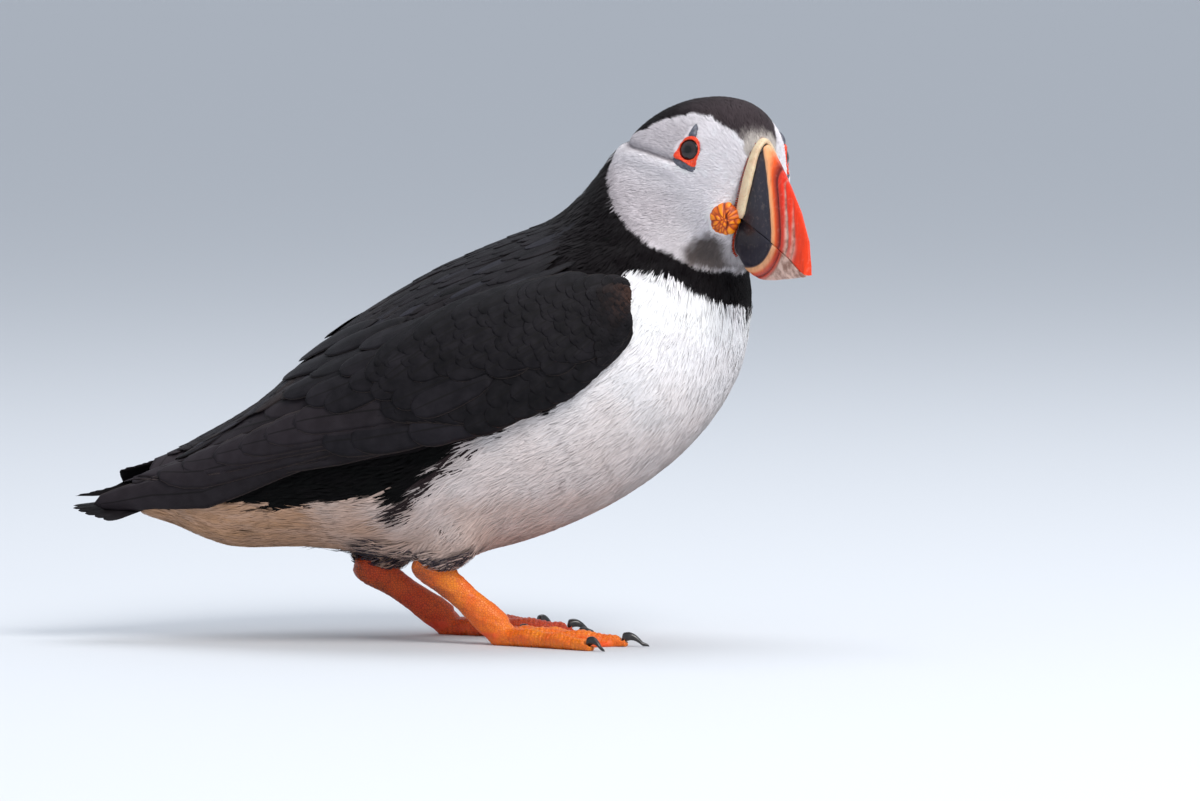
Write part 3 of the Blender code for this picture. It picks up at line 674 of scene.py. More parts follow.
def tuft_tints(kind, line, roots, chance):
    """Each tuft's colours at its steps, from the markings and painted shade two thirds of the way along it."""
    count, steps = len(line), line.shape[1] - 1
    shares = np.linspace(0, 1, steps + 1)
    shown = 0.62 * steps
    first = int(shown)
    seen = line[:, first] * (first + 1 - shown) + line[:, first + 1] * (shown - first)
    tint = plumage(seen) * (1 + chance.normal(0, 0.035, count))[:, None]
    dark = chance.random(count) < 0.8 * dark_locks(seen) ** 1.6
    tint = np.where(dark[:, None] & (tint.sum(1) > 0.3)[:, None], tone(44, 35, 36), tint)
    tints = tint[:, None] * (0.88 + 0.12 * shares)[None, :, None]
    if kind == "thigh":
        slate = chance.random(count) < 0.6 * soft(31, 24, line[:, -1, 2] + 3 * drift(roots, 6, 14))
        slate |= (roots[:, 1] > 0) & (chance.random(count) < 0.75)
        tints = np.where((slate[:, None] & (shares[None] > 0.4))[..., None], tone(58, 52, 60), tints)
    return tints


def make_coat(kind):
    """All the tufts of one kind, in pieces of less than 200,000 triangles."""
    number = list(COATS).index(kind)
    _, width, _, dense, steps, _, slot = COATS[kind]
    chance = np.random.default_rng(100 + number)
    roots, normals = scattered(lambda p: dense * ((coat_kind(p) == number) & ~bald(p)), chance)
    count = len(roots)
    size = chance.uniform(0.75, 1.2, count)
    size *= 1 + 0.25 * drift(roots, 9, 7)
    if kind in ("face", "crown"):
        place = mirrored(in_head(roots))
        size *= 0.45 + 0.55 * soft(1, 13, lengths(place - (14, 5, -8)) - 4)
        size *= 0.6 + 0.4 * soft(4, 9, lengths(place - EYE_PLACE))
    line, ups = grown(kind, roots, normals, size, chance)
    ways = unit(np.gradient(line, axis=1))
    sides = unit(np.cross(ways, ups))
    ups = np.cross(sides, ways)
    pattern = spindle(3, steps)
    step, angle = pattern[0], pattern[1] + math.pi / 2
    half = np.where((step == 0) | (step == steps), 0, width / 2 * (1.15 - 0.4 * step / steps))
    half = half[None, :] * (0.7 + 0.3 * size)[:, None]
    round_it = sides[:, step] * np.cos(angle)[None, :, None] + ups[:, step] * 0.16 * np.sin(angle)[None, :, None]
    points = line[:, step] + round_it * half[..., None]
    facing = unit(ups[:, step] + 0.45 * round_it + 0.08 * chance.normal(0, 1, (count, 1, 3)))
    tints = tuft_tints(kind, line, roots, chance)
    places = body_places(roots) * (1, 0.45) + np.where(roots[:, 1] < 0, 0.02, 0.52)[:, None] * (0, 1)
    most = MOST_TRIANGLES // len(pattern[2])
    pieces = range(0, count, most)
    order = np.argsort(roots[:, 0])
    for part, start in enumerate(pieces):
        own = order[start:start + most]
        name = f"coat_{kind}" + (f"_{part + 1}" if len(pieces) > 1 else "")
        array_piece(name, pattern, points[own], tints[own], places[own], COAT_MATERIAL, slot, facing=facing[own])


# ---- finishes


def new_material(name, **sockets):
    """A material with constants for its shader's sockets, named with _ for each space."""
    material = bpy.data.materials.new(name)
    material.use_nodes = True
    shader = material.node_tree.nodes["Principled BSDF"]
    for socket, value in sockets.items():
        shader.inputs[socket.replace("_", " ")].default_value = value
    return material, material.node_tree, shader


def feed(tree, socket, value):
    """Links a socket to another node's output, or sets it to a number or a colour."""
    if isinstance(value, bpy.types.NodeSocket):
        tree.links.new(value, socket)
    else:
        socket.default_value = value if np.isscalar(value) else (*value, 1)


def own_place(tree):
    return tree.nodes.new("ShaderNodeTexCoord").outputs["Object"]


def mask_of(tree, name, kind="Fac"):
    mask = tree.nodes.new("ShaderNodeAttribute")
    mask.attribute_name = name
    return mask.outputs[kind]


def maths(tree, operation, *values):
    node = tree.nodes.new("ShaderNodeMath")
    node.operation = operation
    for socket, value in zip(node.inputs, values):
        feed(tree, socket, value)
    return node.outputs[0]


def noise_of(tree, scale, detail=3.0, turn=None, stretch=None):
    """Noise in the piece's own place, with features of 1/scale metres."""
    source = own_place(tree)
    if turn:
        mapping = tree.nodes.new("ShaderNodeMapping")
        mapping.inputs["Rotation"].default_value = [math.radians(a) for a in turn]
        mapping.inputs["Scale"].default_value = stretch
        tree.links.new(source, mapping.inputs["Vector"])
        source = mapping.outputs[0]
    cloud = tree.nodes.new("ShaderNodeTexNoise")
    for key, value in (("Vector", source), ("Scale", scale), ("Detail", detail)):
        feed(tree, cloud.inputs[key], value)
    return cloud.outputs[0]


def cells_of(tree, scale, output, **settings):
    """Small cells in the piece's own place."""
    cells = tree.nodes.new("ShaderNodeTexVoronoi")
    cells.feature = settings.pop("feature", "F1")
    for key, value in {"Vector": own_place(tree), "Scale": scale, **settings}.items():
        feed(tree, cells.inputs[key], value)
    return cells.outputs[output]


def ranged(tree, source, low, high, start=0.0, end=1.0):
    span = tree.nodes.new("ShaderNodeMapRange")
    for number, value in enumerate((source, low, high, start, end)):
        feed(tree, span.inputs[number], value)
    return span.outputs[0]


def blended(tree, factor, first, second, way="MIX"):
    mix = tree.nodes.new("ShaderNodeMix")
    mix.data_type, mix.blend_type = "RGBA", way
    for key, value in (("Factor", factor), ("A", first), ("B", second)):
        feed(tree, mix.inputs[key], value)
    return mix.outputs["Result"]


def between(tree, source, low, high, first, second):
    """Two colours, mixed by where a value stands between low and high."""
    return blended(tree, ranged(tree, source, low, high), first, second)


def colour_scale(tree, source, stops, low, high):
    """A colour ramp over a mask's own range of values."""
    ramp = tree.nodes.new("ShaderNodeValToRGB")
    marks = ramp.color_ramp.elements
    marks.remove(marks[1])
    marks[0].position, marks[0].color = (stops[0][0] - low) / (high - low), (*stops[0][1], 1)
    for place, colour in stops[1:]:
        marks.new((place - low) / (high - low)).color = (*colour, 1)
    tree.links.new(ranged(tree, source, low, high), ramp.inputs[0])
    return ramp.outputs[0]


def coloured(tree, shader, colour):
    tree.links.new(colour, shader.inputs["Base Color"])


def bumped(tree, shader, height, depth, strength=1.0):
    bump = tree.nodes.new("ShaderNodeBump")
    for key, value in (("Strength", strength), ("Distance", depth * MM), ("Height", height)):
        feed(tree, bump.inputs[key], value)
    tree.links.new(bump.outputs[0], shader.inputs["Normal"])


def coat_material(name, roughness, sheen):
    """Plumage in the colours stored at its corners."""
    material, tree, shader = new_material(name, Roughness=roughness, Sheen_Weight=sheen, Sheen_Roughness=0.5,
                                          Specular_IOR_Level=0.06)
    coloured(tree, shader, mask_of(tree, "Plumage", "Color"))
    return material


def vane_material():
    """Feather vanes: barbs that slant from the shaft, a paler worn edge and a dark shaft."""
    material, tree, shader = new_material("vanes", Roughness=0.6, Specular_IOR_Level=0.10)
    tint = mask_of(tree, "Plumage", "Color")
    place = tree.nodes.new("ShaderNodeUVMap")
    place.uv_map = "Vane"
    parts = tree.nodes.new("ShaderNodeSeparateXYZ")
    tree.links.new(place.outputs[0], parts.inputs[0])
    away = maths(tree, "ABSOLUTE", maths(tree, "SUBTRACT", parts.outputs[0], 0.5))
    # Barbs: fine lines that run outwards and towards the tip.
    slant = maths(tree, "MULTIPLY_ADD", away, -0.30, parts.outputs[1])
    wave = maths(tree, "SINE", maths(tree, "MULTIPLY", slant, 420.0))
    bumped(tree, shader, maths(tree, "MULTIPLY_ADD", wave, 0.35, noise_of(tree, 900, 2.0)), 0.12, 0.35)
    worn = blended(tree, ranged(tree, noise_of(tree, 260, 4.0), 0.35, 0.70, 0, 0.75), tint, tone(56, 52, 56), "SCREEN")
    line = blended(tree, ranged(tree, wave, -1, 1, 0, 0.30), tint, (0, 0, 0))
    # The worn edge, then the shaft.
    edged = blended(tree, ranged(tree, away, 0.455, 0.5, 0, 0.26), blended(tree, 0.24, line, worn),
                    tone(120, 104, 98))
    coloured(tree, shader, blended(tree, ranged(tree, away, 0.035, 0.012, 0, 0.75), edged, (0.006, 0.005, 0.005)))
    return material


COAT_MATERIAL = coat_material("soft_plumage", 0.75, 0.04)
SKIN_MATERIAL = coat_material("down", 0.9, 0.0)
VANE_MATERIAL = vane_material()


# ---- the cloak of wings and back

# The folded wing lies along the body from station WING_FRONT back to each side's tip.
WING_FRONT = 9.25
WING_TIPS = {RIGHT: 0.12, LEFT: 1.1}
TOP_EDGE = ((0, 2, 3.2, 4.2, 5.5, 7.5, 8.7, 9.25), (30, 22, 16, 26, 42, 46, 50, 66))
LOW_EDGE = ((0, 2, 3, 5, 7, 8, 8.8, 9.25), (96, 88, 88, 98, 103, 100, 93, 84))


def body_point(t, angle, side):
    """Points of the body's outline at station t, the angle running from the back to the belly."""
    row = curve(BODY, t)
    middle, rise = (row[..., :2] + row[..., 2:4]) / 2, row[..., :2] - row[..., 2:4]
    height = rounded(np.cos(angle), FULLNESS) / 2
    flat = middle + rise * height[..., None]
    return np.stack([flat[..., 0], side * row[..., 4] * rounded(np.sin(angle), FULLNESS), flat[..., 1]], -1)


def outward(t, angle, side):
    """The way out of the body's outline."""
    along = body_point(t + 0.02, angle, side) - body_point(t - 0.02, angle, side)
    around = body_point(t, angle + 0.02, side) - body_point(t, angle - 0.02, side)
    return unit(np.cross(along, around)) * side


def cloak(t, angle, side, height=0.0):
    """Points of the surface on which wing and back feathers lie, and height above it."""
    degrees = np.degrees(np.abs(angle))
    top, low = np.interp(t, *TOP_EDGE), np.interp(t, *LOW_EDGE)
    across = (degrees - top) / (low - top)
    share = np.clip((WING_FRONT - t) / (WING_FRONT - WING_TIPS[RIGHT]), 0, 1)
    swell = np.minimum(1, share / 0.16) ** 0.5 * (1 - 0.80 * share ** 1.5)
    belly = np.sin(math.pi * np.clip(across, 0, 1) ** 0.85) ** 0.8
    thick = np.where(across > 0, 1.5 + 5.2 * swell * belly, 1.5 * soft(-0.35, 0, across) - 0.4 * soft(0, -0.5, across))
    lift = 0.0 if side == RIGHT else 12.0 * np.maximum(0, share - 0.5) ** 1.2 * soft(-0.3, 0, across)
    normal = outward(t, angle, side)
    point = body_point(t, angle, side) + normal * (thick - 0.3 + height)[..., None]
    point[..., 2] += lift
    return point


def cloak_finder():
    """Stations and angles of the right side of the cloak, found from where they show from the side."""
    t, angle = np.meshgrid(np.linspace(0, 10.5, 500), np.radians(np.linspace(0, 112, 180)), indexing="ij")
    points = cloak(t, angle, RIGHT).reshape(-1, 3)
    return side_finder(np.stack([points[:, 0], seen_height(points)], 1)), np.stack([t.ravel(), angle.ravel()], 1)


CLOAK, CLOAK_PLACES = cloak_finder()


def at_side(points):
    """Station and angle of points given as x, z from the bird's right side."""
    return CLOAK_PLACES[found(CLOAK, points)]


# A vane's corners across it, from its right edge to its left, at each step.
LATERALS = np.cos(np.linspace(0, math.pi, 5))
VANE_STEPS = 11


def vane_shape(steps, tip_at, narrow):
    """Shares along a vane, and its half width at each, with a rounded or pointed tip."""
    share = 1 - (1 - np.linspace(0, 1, steps + 1)) ** 1.5
    root = np.clip(share / 0.22, 0, 1) ** 0.6 * (narrow + (1 - narrow) * soft(0, 0.6, share))
    end = np.sqrt(np.clip(1 - np.clip((share - tip_at) / (1 - tip_at), 0, 1) ** 2, 0, 1))
    return share, root * end


def vane_piece(name, surface, side, slot, starts, ends, widths, rises, bases, tints, tip_at=0.6, narrow=0.7,
               bow=0.0, nodes=()):
    """Feathers that lie on a surface of two parameters, each from its start to its end.

    widths are their half widths in mm, rises how far their tips stand up, bases their layers'
    heights and tints their colours at root and tip.
    """
    step, camber, thick = 0.01, 0.07, 0.10
    share, half = vane_shape(VANE_STEPS, tip_at, narrow)
    line = starts[:, None] + (ends - starts)[:, None] * share[None, :, None]
    line[:, :, 1] += (bow + np.zeros(len(starts)))[:, None] * (share * (1 - share) * 4)[None]
    t, angle = line[..., 0], line[..., 1]
    here = surface(t, angle, side)
    by_t = (surface(t + step, angle, side) - here) / step
    by_angle = (surface(t, angle + step, side) - here) / step
    ways = unit(np.gradient(here, axis=1))
    normal = unit(np.cross(by_t, by_angle)) * side
    sideways = unit(np.cross(ways, normal))
    tt, ta, aa = (by_t ** 2).sum(-1), (by_t * by_angle).sum(-1), (by_angle ** 2).sum(-1)
    pt, pa = (by_t * sideways).sum(-1), (by_angle * sideways).sum(-1)
    det = tt * aa - ta * ta
    move_t, move_a = (pt * aa - pa * ta) / det, (pa * tt - pt * ta) / det
    reach = (widths[:, None] * half[None])[..., None] * LATERALS
    lift = bases[:, None] + rises[:, None] * share[None]
    height = lift[..., None] - camber * np.abs(reach) * np.abs(LATERALS)
    grid = surface(t[..., None] + move_t[..., None] * reach, angle[..., None] + move_a[..., None] * reach, side,
                   height)
    pattern = spindle(8, VANE_STEPS)
    at, turn = pattern[0], pattern[1]
    column = np.rint(np.arccos(np.clip(np.cos(turn), -1, 1)) / math.pi * 4).astype(int)
    rise = np.sin(turn) * thick * np.where((at == 0) | (at == VANE_STEPS), 0, 1)
    points = grid[:, at, column] + normal[:, at] * rise[None, :, None]
    shown = share[None, :, None]
    tints = tints[:, None, 0] * (1 - shown) + tints[:, None, 1] * shown
    places = np.stack([starts[:, 0] / 14, 0.25 + starts[:, 1] / 8 + (0.5 if side == LEFT else 0)], 1)
    return array_piece(name, pattern, points, tints, places, VANE_MATERIAL, slot, nodes, patch=0.006)


# Lines of the folded wing as seen from the bird's right side, x and z, from the wrist to the tip.
WING_LOW = np.array([(45, 92), (44.3, 88), (40, 82.5), (28.5, 70), (17, 62.5), (0, 57), (-14.3, 51.5), (-34, 48),
                     (-51.5, 45), (-72.5, 41.8), (-91, 39.5), (-107.5, 38.6)])
WING_TOP = np.array([(45.5, 98), (44.3, 101.4), (37, 100.3), (25.7, 99), (14.3, 97), (0, 92.8), (-14.3, 85.5),
                     (-28.5, 76.5), (-40, 72), (-51.5, 68.5), (-70, 57.5), (-107.5, 38.6)])


def wing_spot(u, v):
    """x and z of a place on the folded wing: u from wrist to tip, v from the lower edge up."""
    u, v = np.asarray(u, float), np.asarray(v, float)
    low, top = curve(WING_LOW, u * (len(WING_LOW) - 1)), curve(WING_TOP, u * (len(WING_TOP) - 1))
    return low + (top - low) * v[..., None]


FLIGHT = tone(43, 37, 41)
COVERT = tone(15, 13, 16)
BROWN = tone(74, 52, 44)


def shades(base, count, chance, spread=0.12, tip=None):
    """Root and tip colours for a row of feathers."""
    root = base * (1 + chance.normal(0, spread, (count, 1)))
    end = root if tip is None else tip * (1 + chance.normal(0, spread, (count, 1)))
    return np.clip(np.stack([root, end], 1), 0.002, 1)


def tract(starts, ends, width, rise, base, tints, tip_at=0.6, slant=90):
    """Feathers that look straight from the side, from their roots to their tips.

    slant is the most degrees by which they may run down round the body.
    """
    starts, ends = np.asarray(starts), np.asarray(ends)
    first, middle, last = at_side(starts), at_side((starts + ends) / 2), at_side(ends)
    first[:, 1] = np.maximum(first[:, 1], last[:, 1] - math.radians(slant))
    middle[:, 1] = np.maximum(middle[:, 1], last[:, 1] - math.radians(slant * 0.5))
    share = np.clip((middle[:, 0] - first[:, 0]) / np.minimum(last[:, 0] - first[:, 0], -0.01), 0.25, 0.75)
    bow = (middle[:, 1] - first[:, 1] - (last[:, 1] - first[:, 1]) * share) / (4 * share * (1 - share))
    ones = np.ones(len(starts))
    return {"starts": first, "ends": last, "widths": np.minimum(width, 0.42 * lengths(ends - starts)),
            "rises": rise * ones, "bases": base * ones, "tints": tints, "bow": bow, "tip_at": tip_at * ones}


# Tips of the primaries, of the long inner feathers that close the wing above them, and of the
# inner coverts and tertials that lie over the wing's root towards the rump.
PRIMARY_TIPS = np.array([(-107.4, 38.8), (-102.0, 42.3), (-96.3, 45.4), (-88.8, 47.6), (-81.6, 50.4), (-72.4, 52.5),
                         (-64.7, 55.2), (-57.3, 58.0), (-49.0, 62.0)])
INNER_TIPS = np.array([(-97, 47.0), (-86, 51.5), (-76, 56.5), (-67, 61.5), (-58, 66.0)])
TERTIAL_TIPS = np.array([(-51.5, 69.4), (-52, 74), (-45.5, 67.8), (-40, 66.5), (-44, 75), (-48.5, 80.5),
                         (-33, 72.3), (-36, 76), (-40, 81), (-27, 70), (-21, 67.8), (-15.7, 65.3), (-30, 82.5),
                         (-22, 78)])
# How far along the wing each row of coverts reaches, by its level.
ROW_REACH = np.array([(0.24, 0.20), (0.34, 0.29), (0.45, 0.37), (0.55, 0.46), (0.70, 0.56), (0.85, 0.62), (1, 0.64)])


def flight_tracts(chance):
    """Primaries, the inner ones over the outer ones, and the long feathers above them."""
    for tips, root, spread, narrower, width, rise, base, layer, dark, tip_at in (
            (PRIMARY_TIPS, (-4, 61.5), (2, 8), 0.2, 5.2, 0.5, -0.3, 0.14, 0.25, 0.80),
            (INNER_TIPS, (-22, 69), (6, 9), 0, 7.0, 0.4, -0.45, 0.1, 0.35, 0.75)):
        share = np.linspace(0, 1, len(tips))
        tints = shades(FLIGHT * dark, len(tips), chance, 0.08, FLIGHT)
        yield tract(root + share[:, None] * spread, tips, width - narrower * share, rise,
                    base + layer * np.arange(len(tips)), tints, tip_at)


def covert_tracts(chance):
    """Secondaries and the coverts above them, row over row, smaller towards the wrist."""
    count = 10
    share = np.linspace(0, 1, count)
    roots = wing_spot(0.16 + 0.20 * share, 0.26 + 0.14 * share)
    yield tract(roots, wing_spot(0.44 + 0.16 * share, 0.12 + 0.42 * share), 6.4, 0.7, 0.10 + 0.08 * np.arange(count),
                shades(COVERT, count, chance, 0.1, COVERT * 1.3), 0.74)
    # Greater coverts over the secondaries' roots.
    for start, reach, low, rise in ((0.03, 0.30, 0.10, 0.01), (0.06, 0.30, 0.17, 0.10), (0.18, 0.28, 0.34, 0.20)):
        u, v = start + reach * share, low + rise * share
        yield tract(wing_spot(u - 0.02, v + 0.08), wing_spot(u + 0.13, v), 5.2, 0.6, 0.55,
                    shades(COVERT * 0.85, count, chance, 0.1), 0.70)
    # A few odd paler feathers among them.
    yield tract([(12.0, 64.5)], [(-16.6, 59.4)], 5.6, 1.1, 0.0, shades(COVERT * 2.6, 1, chance), 0.72)
    yield tract([(-2.0, 62.0), (-8.0, 60.5)], [(-33.0, 57.0), (-41.0, 56.5)], 5.4, 0.7, 0.25,
                shades(COVERT * 1.9, 2, chance), 0.72)
    yield tract(TERTIAL_TIPS + (24, 10.5), TERTIAL_TIPS, 4.6, 0.7, 0.9 + 0.03 * np.arange(len(TERTIAL_TIPS)),
                shades(COVERT * 1.2, len(TERTIAL_TIPS), chance, 0.2, COVERT * 1.9), 0.66, slant=9)
    # Median and lesser coverts.
    for level in np.arange(0.24, 1.0, 0.068):
        last = edge_at(ROW_REACH, level)
        count = max(4, int(last / 0.034))
        u = np.linspace(0.12, last, count) + chance.normal(0, 0.008, count)
        v = level + chance.normal(0, 0.018, count)
        yield tract(wing_spot(u - np.minimum(0.050 + 0.13 * u, u), v + 0.04 + 0.12 * u), wing_spot(u, v), 3.1 + 5.0 * u,
                    0.45, 1.15 + 0.4 * level, shades(COVERT, count, chance, 0.16, COVERT * 1.25), 0.5)
    # The wrist's small feathers, rusty in front.
    count = 280
    u, v = 0.07 + chance.random(count) * 0.13, 0.04 + chance.random(count) * 0.9
    rust = soft(0.20, 0.06, u)[:, None, None] * soft(0.2, 0.7, v)[:, None, None]
    tints = shades(COVERT, count, chance, 0.15)
    tints = tints + (BROWN - tints) * rust * chance.random((count, 1, 1)) * 0.9
    yield tract(wing_spot(u - 0.065, v + 0.03), wing_spot(u + 0.02, v - 0.03), 1.3 + 5 * u, 0.5, 1.2 + 0.5 * v,
                tints, 0.5)


def wing_feathers(side):
    """Every tract of one folded wing, from the primaries up to the lesser coverts, in three pieces."""
    chance = np.random.default_rng(31)
    name = SIDE_NAMES[side]
    tracts = [*flight_tracts(chance), *covert_tracts(chance)]
    whole = {key: np.concatenate([own[key] for own in tracts]) for key in tracts[0]}
    flight = np.arange(len(whole["starts"])) < len(PRIMARY_TIPS) + len(INNER_TIPS)
    reach = (WING_FRONT - WING_TIPS[side]) / (WING_FRONT - WING_TIPS[RIGHT])
    for key in ("starts", "ends"):
        whole[key][:, 0] = WING_FRONT - (WING_FRONT - whole[key][:, 0]) * reach
    pointed = whole.pop("tip_at")
    for own, label, nodes, slot in ((flight, "primaries", ("primaries_" + name,), "flight_feathers"),
                                    (~flight & (pointed > 0.6), "secondaries", (), "wing_plumage"),
                                    (~flight & (pointed <= 0.6), "coverts", (), "wing_plumage")):
        vane_piece(f"{label}_{name}_feathers", cloak, side, slot, nodes=nodes, tip_at=float(pointed[own].mean()),
                   **{key: values[own] for key, values in whole.items()})


def back_feathers(side):
    """Scapulars and mantle: long vanes that hang from the shoulder over the wing's upper edge."""
    chance = np.random.default_rng(47)
    rows = []
    for t_end in np.arange(7.9, 2.4, -0.27):
        level = np.interp(t_end, *TOP_EDGE)
        count = int(5 + level / 4.2)
        angle = np.radians(np.linspace(2, level + 11, count) + chance.normal(0, 1.5, count))
        ends = np.stack([t_end + chance.normal(0, 0.12, count) + 0.35 * np.cos(angle * 2), angle], 1)
        length = (1.0 + 0.9 * soft(7.9, 4.0, t_end)) * chance.uniform(0.9, 1.1, (count, 1))
        starts = ends + length * np.array([1, np.radians(-1.5)])
        width = (2.3 + 1.7 * soft(7.9, 3.5, t_end)) * chance.uniform(0.85, 1.15, count)
        base = np.full(count, 0.05 - 0.01 * t_end)
        rows.append((starts, ends, width, base))
    starts, ends, widths, bases = (np.concatenate(part) for part in zip(*rows))
    rises = np.full(len(starts), 0.75)
    tints = shades(COVERT * 1.1, len(starts), chance, 0.25, COVERT * 1.9)
    browner = chance.random((len(starts), 1, 1)) ** 2 * soft(7.5, 4.5, ends[:, :1, None])
    tints = tints + (tone(46, 37, 35) - tints) * browner * 0.8
    # Painted sheen: a few feathers tinted bluish grey, most towards their tips.
    painted_sheen = (chance.random((len(starts), 1, 1)) < 0.22) * soft(0.2, 0.6, ends[:, 1:, None])
    tints = tints + (tone(52, 52, 61) - tints) * painted_sheen * np.array([0.3, 1.0])[None, :, None] * 0.6
    vane_piece("scapulars_" + SIDE_NAMES[side], cloak, side, "body_plumage", starts, ends, widths, rises, bases, tints,
               tip_at=0.40, narrow=0.5)


def wing_cores():
    """The dark closed body of each wing, under its feathers."""
    for side, name in SIDE_NAMES.items():
        bm = remeshed(joined([node_copy("wing_" + name, 0.25), node_copy("primaries_" + name, 0.25)]), 0.9, 6)
        points, normals = corners_of(bm)
        outer = soft(0.0, 0.4, normals @ np.array([-0.2, 0.8 * side, 0.5]))
        points = points - normals * (0.3 + 1.5 * outer)[:, None]
        low = np.interp(-points[:, 0], -WING_LOW[:, 0], WING_LOW[:, 1])
        points[:, 2] += np.clip(low + 2.5 - seen_height(points), 0, 6)
        move_corners(bm, points)
        finish_piece("wing_bed_" + name, bm, SKIN_MATERIAL, "wing_plumage", ("wing_" + name,),
                     {"Plumage": np.tile(BLACK * 0.8, (len(points), 1))})


# ---- the tail


def tail_surface(along, across, side, height=0.0):
    """The arched fan of the tail: along from root to tip, across from the right edge to the left."""
    reach = 1 - 0.34 * across ** 2
    y = across * (6.5 + 7.0 * along * reach)
    z = 42.2 - 4.0 * along * reach - 0.030 * y * y - 0.6 * np.abs(across) - 0.9 + height
    return np.stack([-84 - 29.5 * along * reach, y * side, z], -1)


def make_tail():
    """Twelve stiff tail feathers, the middle pair on top."""
    chance = np.random.default_rng(5)
    across = np.linspace(-0.94, 0.94, 12)
    starts = np.stack([np.full(12, 0.02), across * 0.55], 1)
    ends = np.stack([1.0 + chance.normal(0, 0.02, 12), across], 1)
    order = 0.16 * (6 - np.abs(np.arange(12) - 5.5))
    vane_piece("tail_feathers", tail_surface, LEFT, "tail_feathers", starts, ends, np.full(12, 2.7),
               np.full(12, 0.3), order, shades(BLACK, 12, chance), tip_at=0.72, nodes=("tail",))


# ---- bill

# Front edge of the slate plate, of the fleshy strip, and the strip's feathered edge: up, forward.
SLATE_FRONT = np.array([(-17.4, 31.5), (-14.7, 30.6), (-10, 27.9), (-5.4, 24.6), (-1, 20.9), (2.6, 17.1), (5.9, 12.8)])
STRIP_FRONT = np.array([(-15.7, 17.6), (-13, 17.6), (-9.6, 17.3), (-5.1, 16.8), (-0.7, 15.7), (3.2, 14.1), (6.4, 12.9)])
STRIP_REAR = np.array([(-15.7, 14.9), (-10.3, 14.4), (-7.4, 13.9), (-3.7, 13.1), (0.1, 12.2), (3.5, 11.2), (7, 10.2)])


def bill_half_width(f):
    """Half the bill's width at a place along it."""
    return BILL_HALF_WIDTH * (1 - 0.80 * np.clip((f - BILL_BASE) / (BILL_TIP - BILL_BASE), 0, 1) ** 1.15)


def upper_band(f, u):
    """Distance of a point of the upper mandible in front of its slate plate, in mm.

    The paler ridge in front of the plate is twice as wide near the forehead.
    """
    band = f - edge_at(SLATE_FRONT, u)
    return np.where(band > 0, band / (1 + 1.3 * soft(-2, 6, u)), band)


def lower_band(f, u):
    """Distance of a point of the lower mandible in front of its slate plate, in mm."""
    return 18.9 * (np.hypot((f - 13) / 18.9, (u + 17) / 11.9) - 1.02)


def bill_along(share, first, last, cap=0.05):
    """Places along a mandible for each share, and how open its section is there."""
    f = last - (last - first) * (1 - np.clip((share - cap) / (1 - cap), 0, 1)) ** 1.5
    return f, np.clip(share / cap, 0, 1)


def grooves(band, lines):
    """Depth of the grooves and ridges that cross the horn: place, width and depth of each."""
    return sum(depth * hump(band, place, width) for place, width, depth in lines)


UPPER_LINES = ((0.6, 0.55, -0.30), (3.5, 0.40, 0.42), (6.6, 0.42, 0.40), (9.4, 0.40, 0.30), (-1.2, 0.6, 0.14))
LOWER_LINES = ((0.8, 0.7, -0.28), (3.7, 0.40, 0.42), (5.0, 0.35, 0.28), (-1.0, 0.6, 0.12))


def section(turn, f, level, ridge, half_width, fullness, band_of, lines, sunk):
    """A mandible's section from the gape to its ridge, with its grooves and sunken slate cut in: sideways, up."""
    y = half_width * rounded(np.cos(turn), fullness)
    rise = np.where(np.sin(turn) > 0, rounded(np.sin(turn), fullness), 0.03 * np.sin(turn))
    u = level + (ridge - level) * rise
    flank = np.clip(np.abs(y) / 1.2, 0, 1)
    cut = grooves(band_of(f, u), lines) * flank * soft(0.0, 0.08, rise)
    return y - np.sign(y) * (cut + sunk * soft(-0.2, -0.9, band_of(f, u)) * flank), u


def make_upper_mandible():
    """The upper mandible, to its hooked tip, with chalky lines in its outer grooves."""
    def place(share, turn):
        f, open_part = bill_along(share, BILL_BASE + 0.6, BILL_TIP - 0.25)
        level, ridge = outline(GAPE, f) + 0.2, outline(CULMEN, f)
        y, u = section(turn, f, level, ridge, bill_half_width(f), BILL_FULLNESS, upper_band, UPPER_LINES, 0.18)
        y = y * open_part
        u = np.where(share > 0, (level + ridge) / 2 + (u - (level + ridge) / 2) * open_part, u)
        tip = soft(0.985, 1.0, share)
        return from_head(np.stack([f + 0.15 * tip, y * (1 - tip), u + (TIP_LEVEL - u) * tip], 1))

    bm = moulded(112, 150, place)
    spots = in_head(corners_of(bm)[0])
    u, band = spots[:, 2], upper_band(spots[:, 0], spots[:, 2])
    pale = hump(band, 6.6, 0.28 + 0.75 * soft(-3, -18, u)) * soft(3, -5, u)
    pale = pale + 0.8 * hump(band, 9.4, 0.25 + 0.9 * soft(-6, -19, u)) * soft(-3, -13, u)
    masks = {"Band": band, "Pale": np.clip(pale, 0, 1)}
    finish_piece("bill_upper_horn", bm, horn_material("upper_horn", UPPER_COLOURS), "bill_horn", ("bill_upper",), masks)


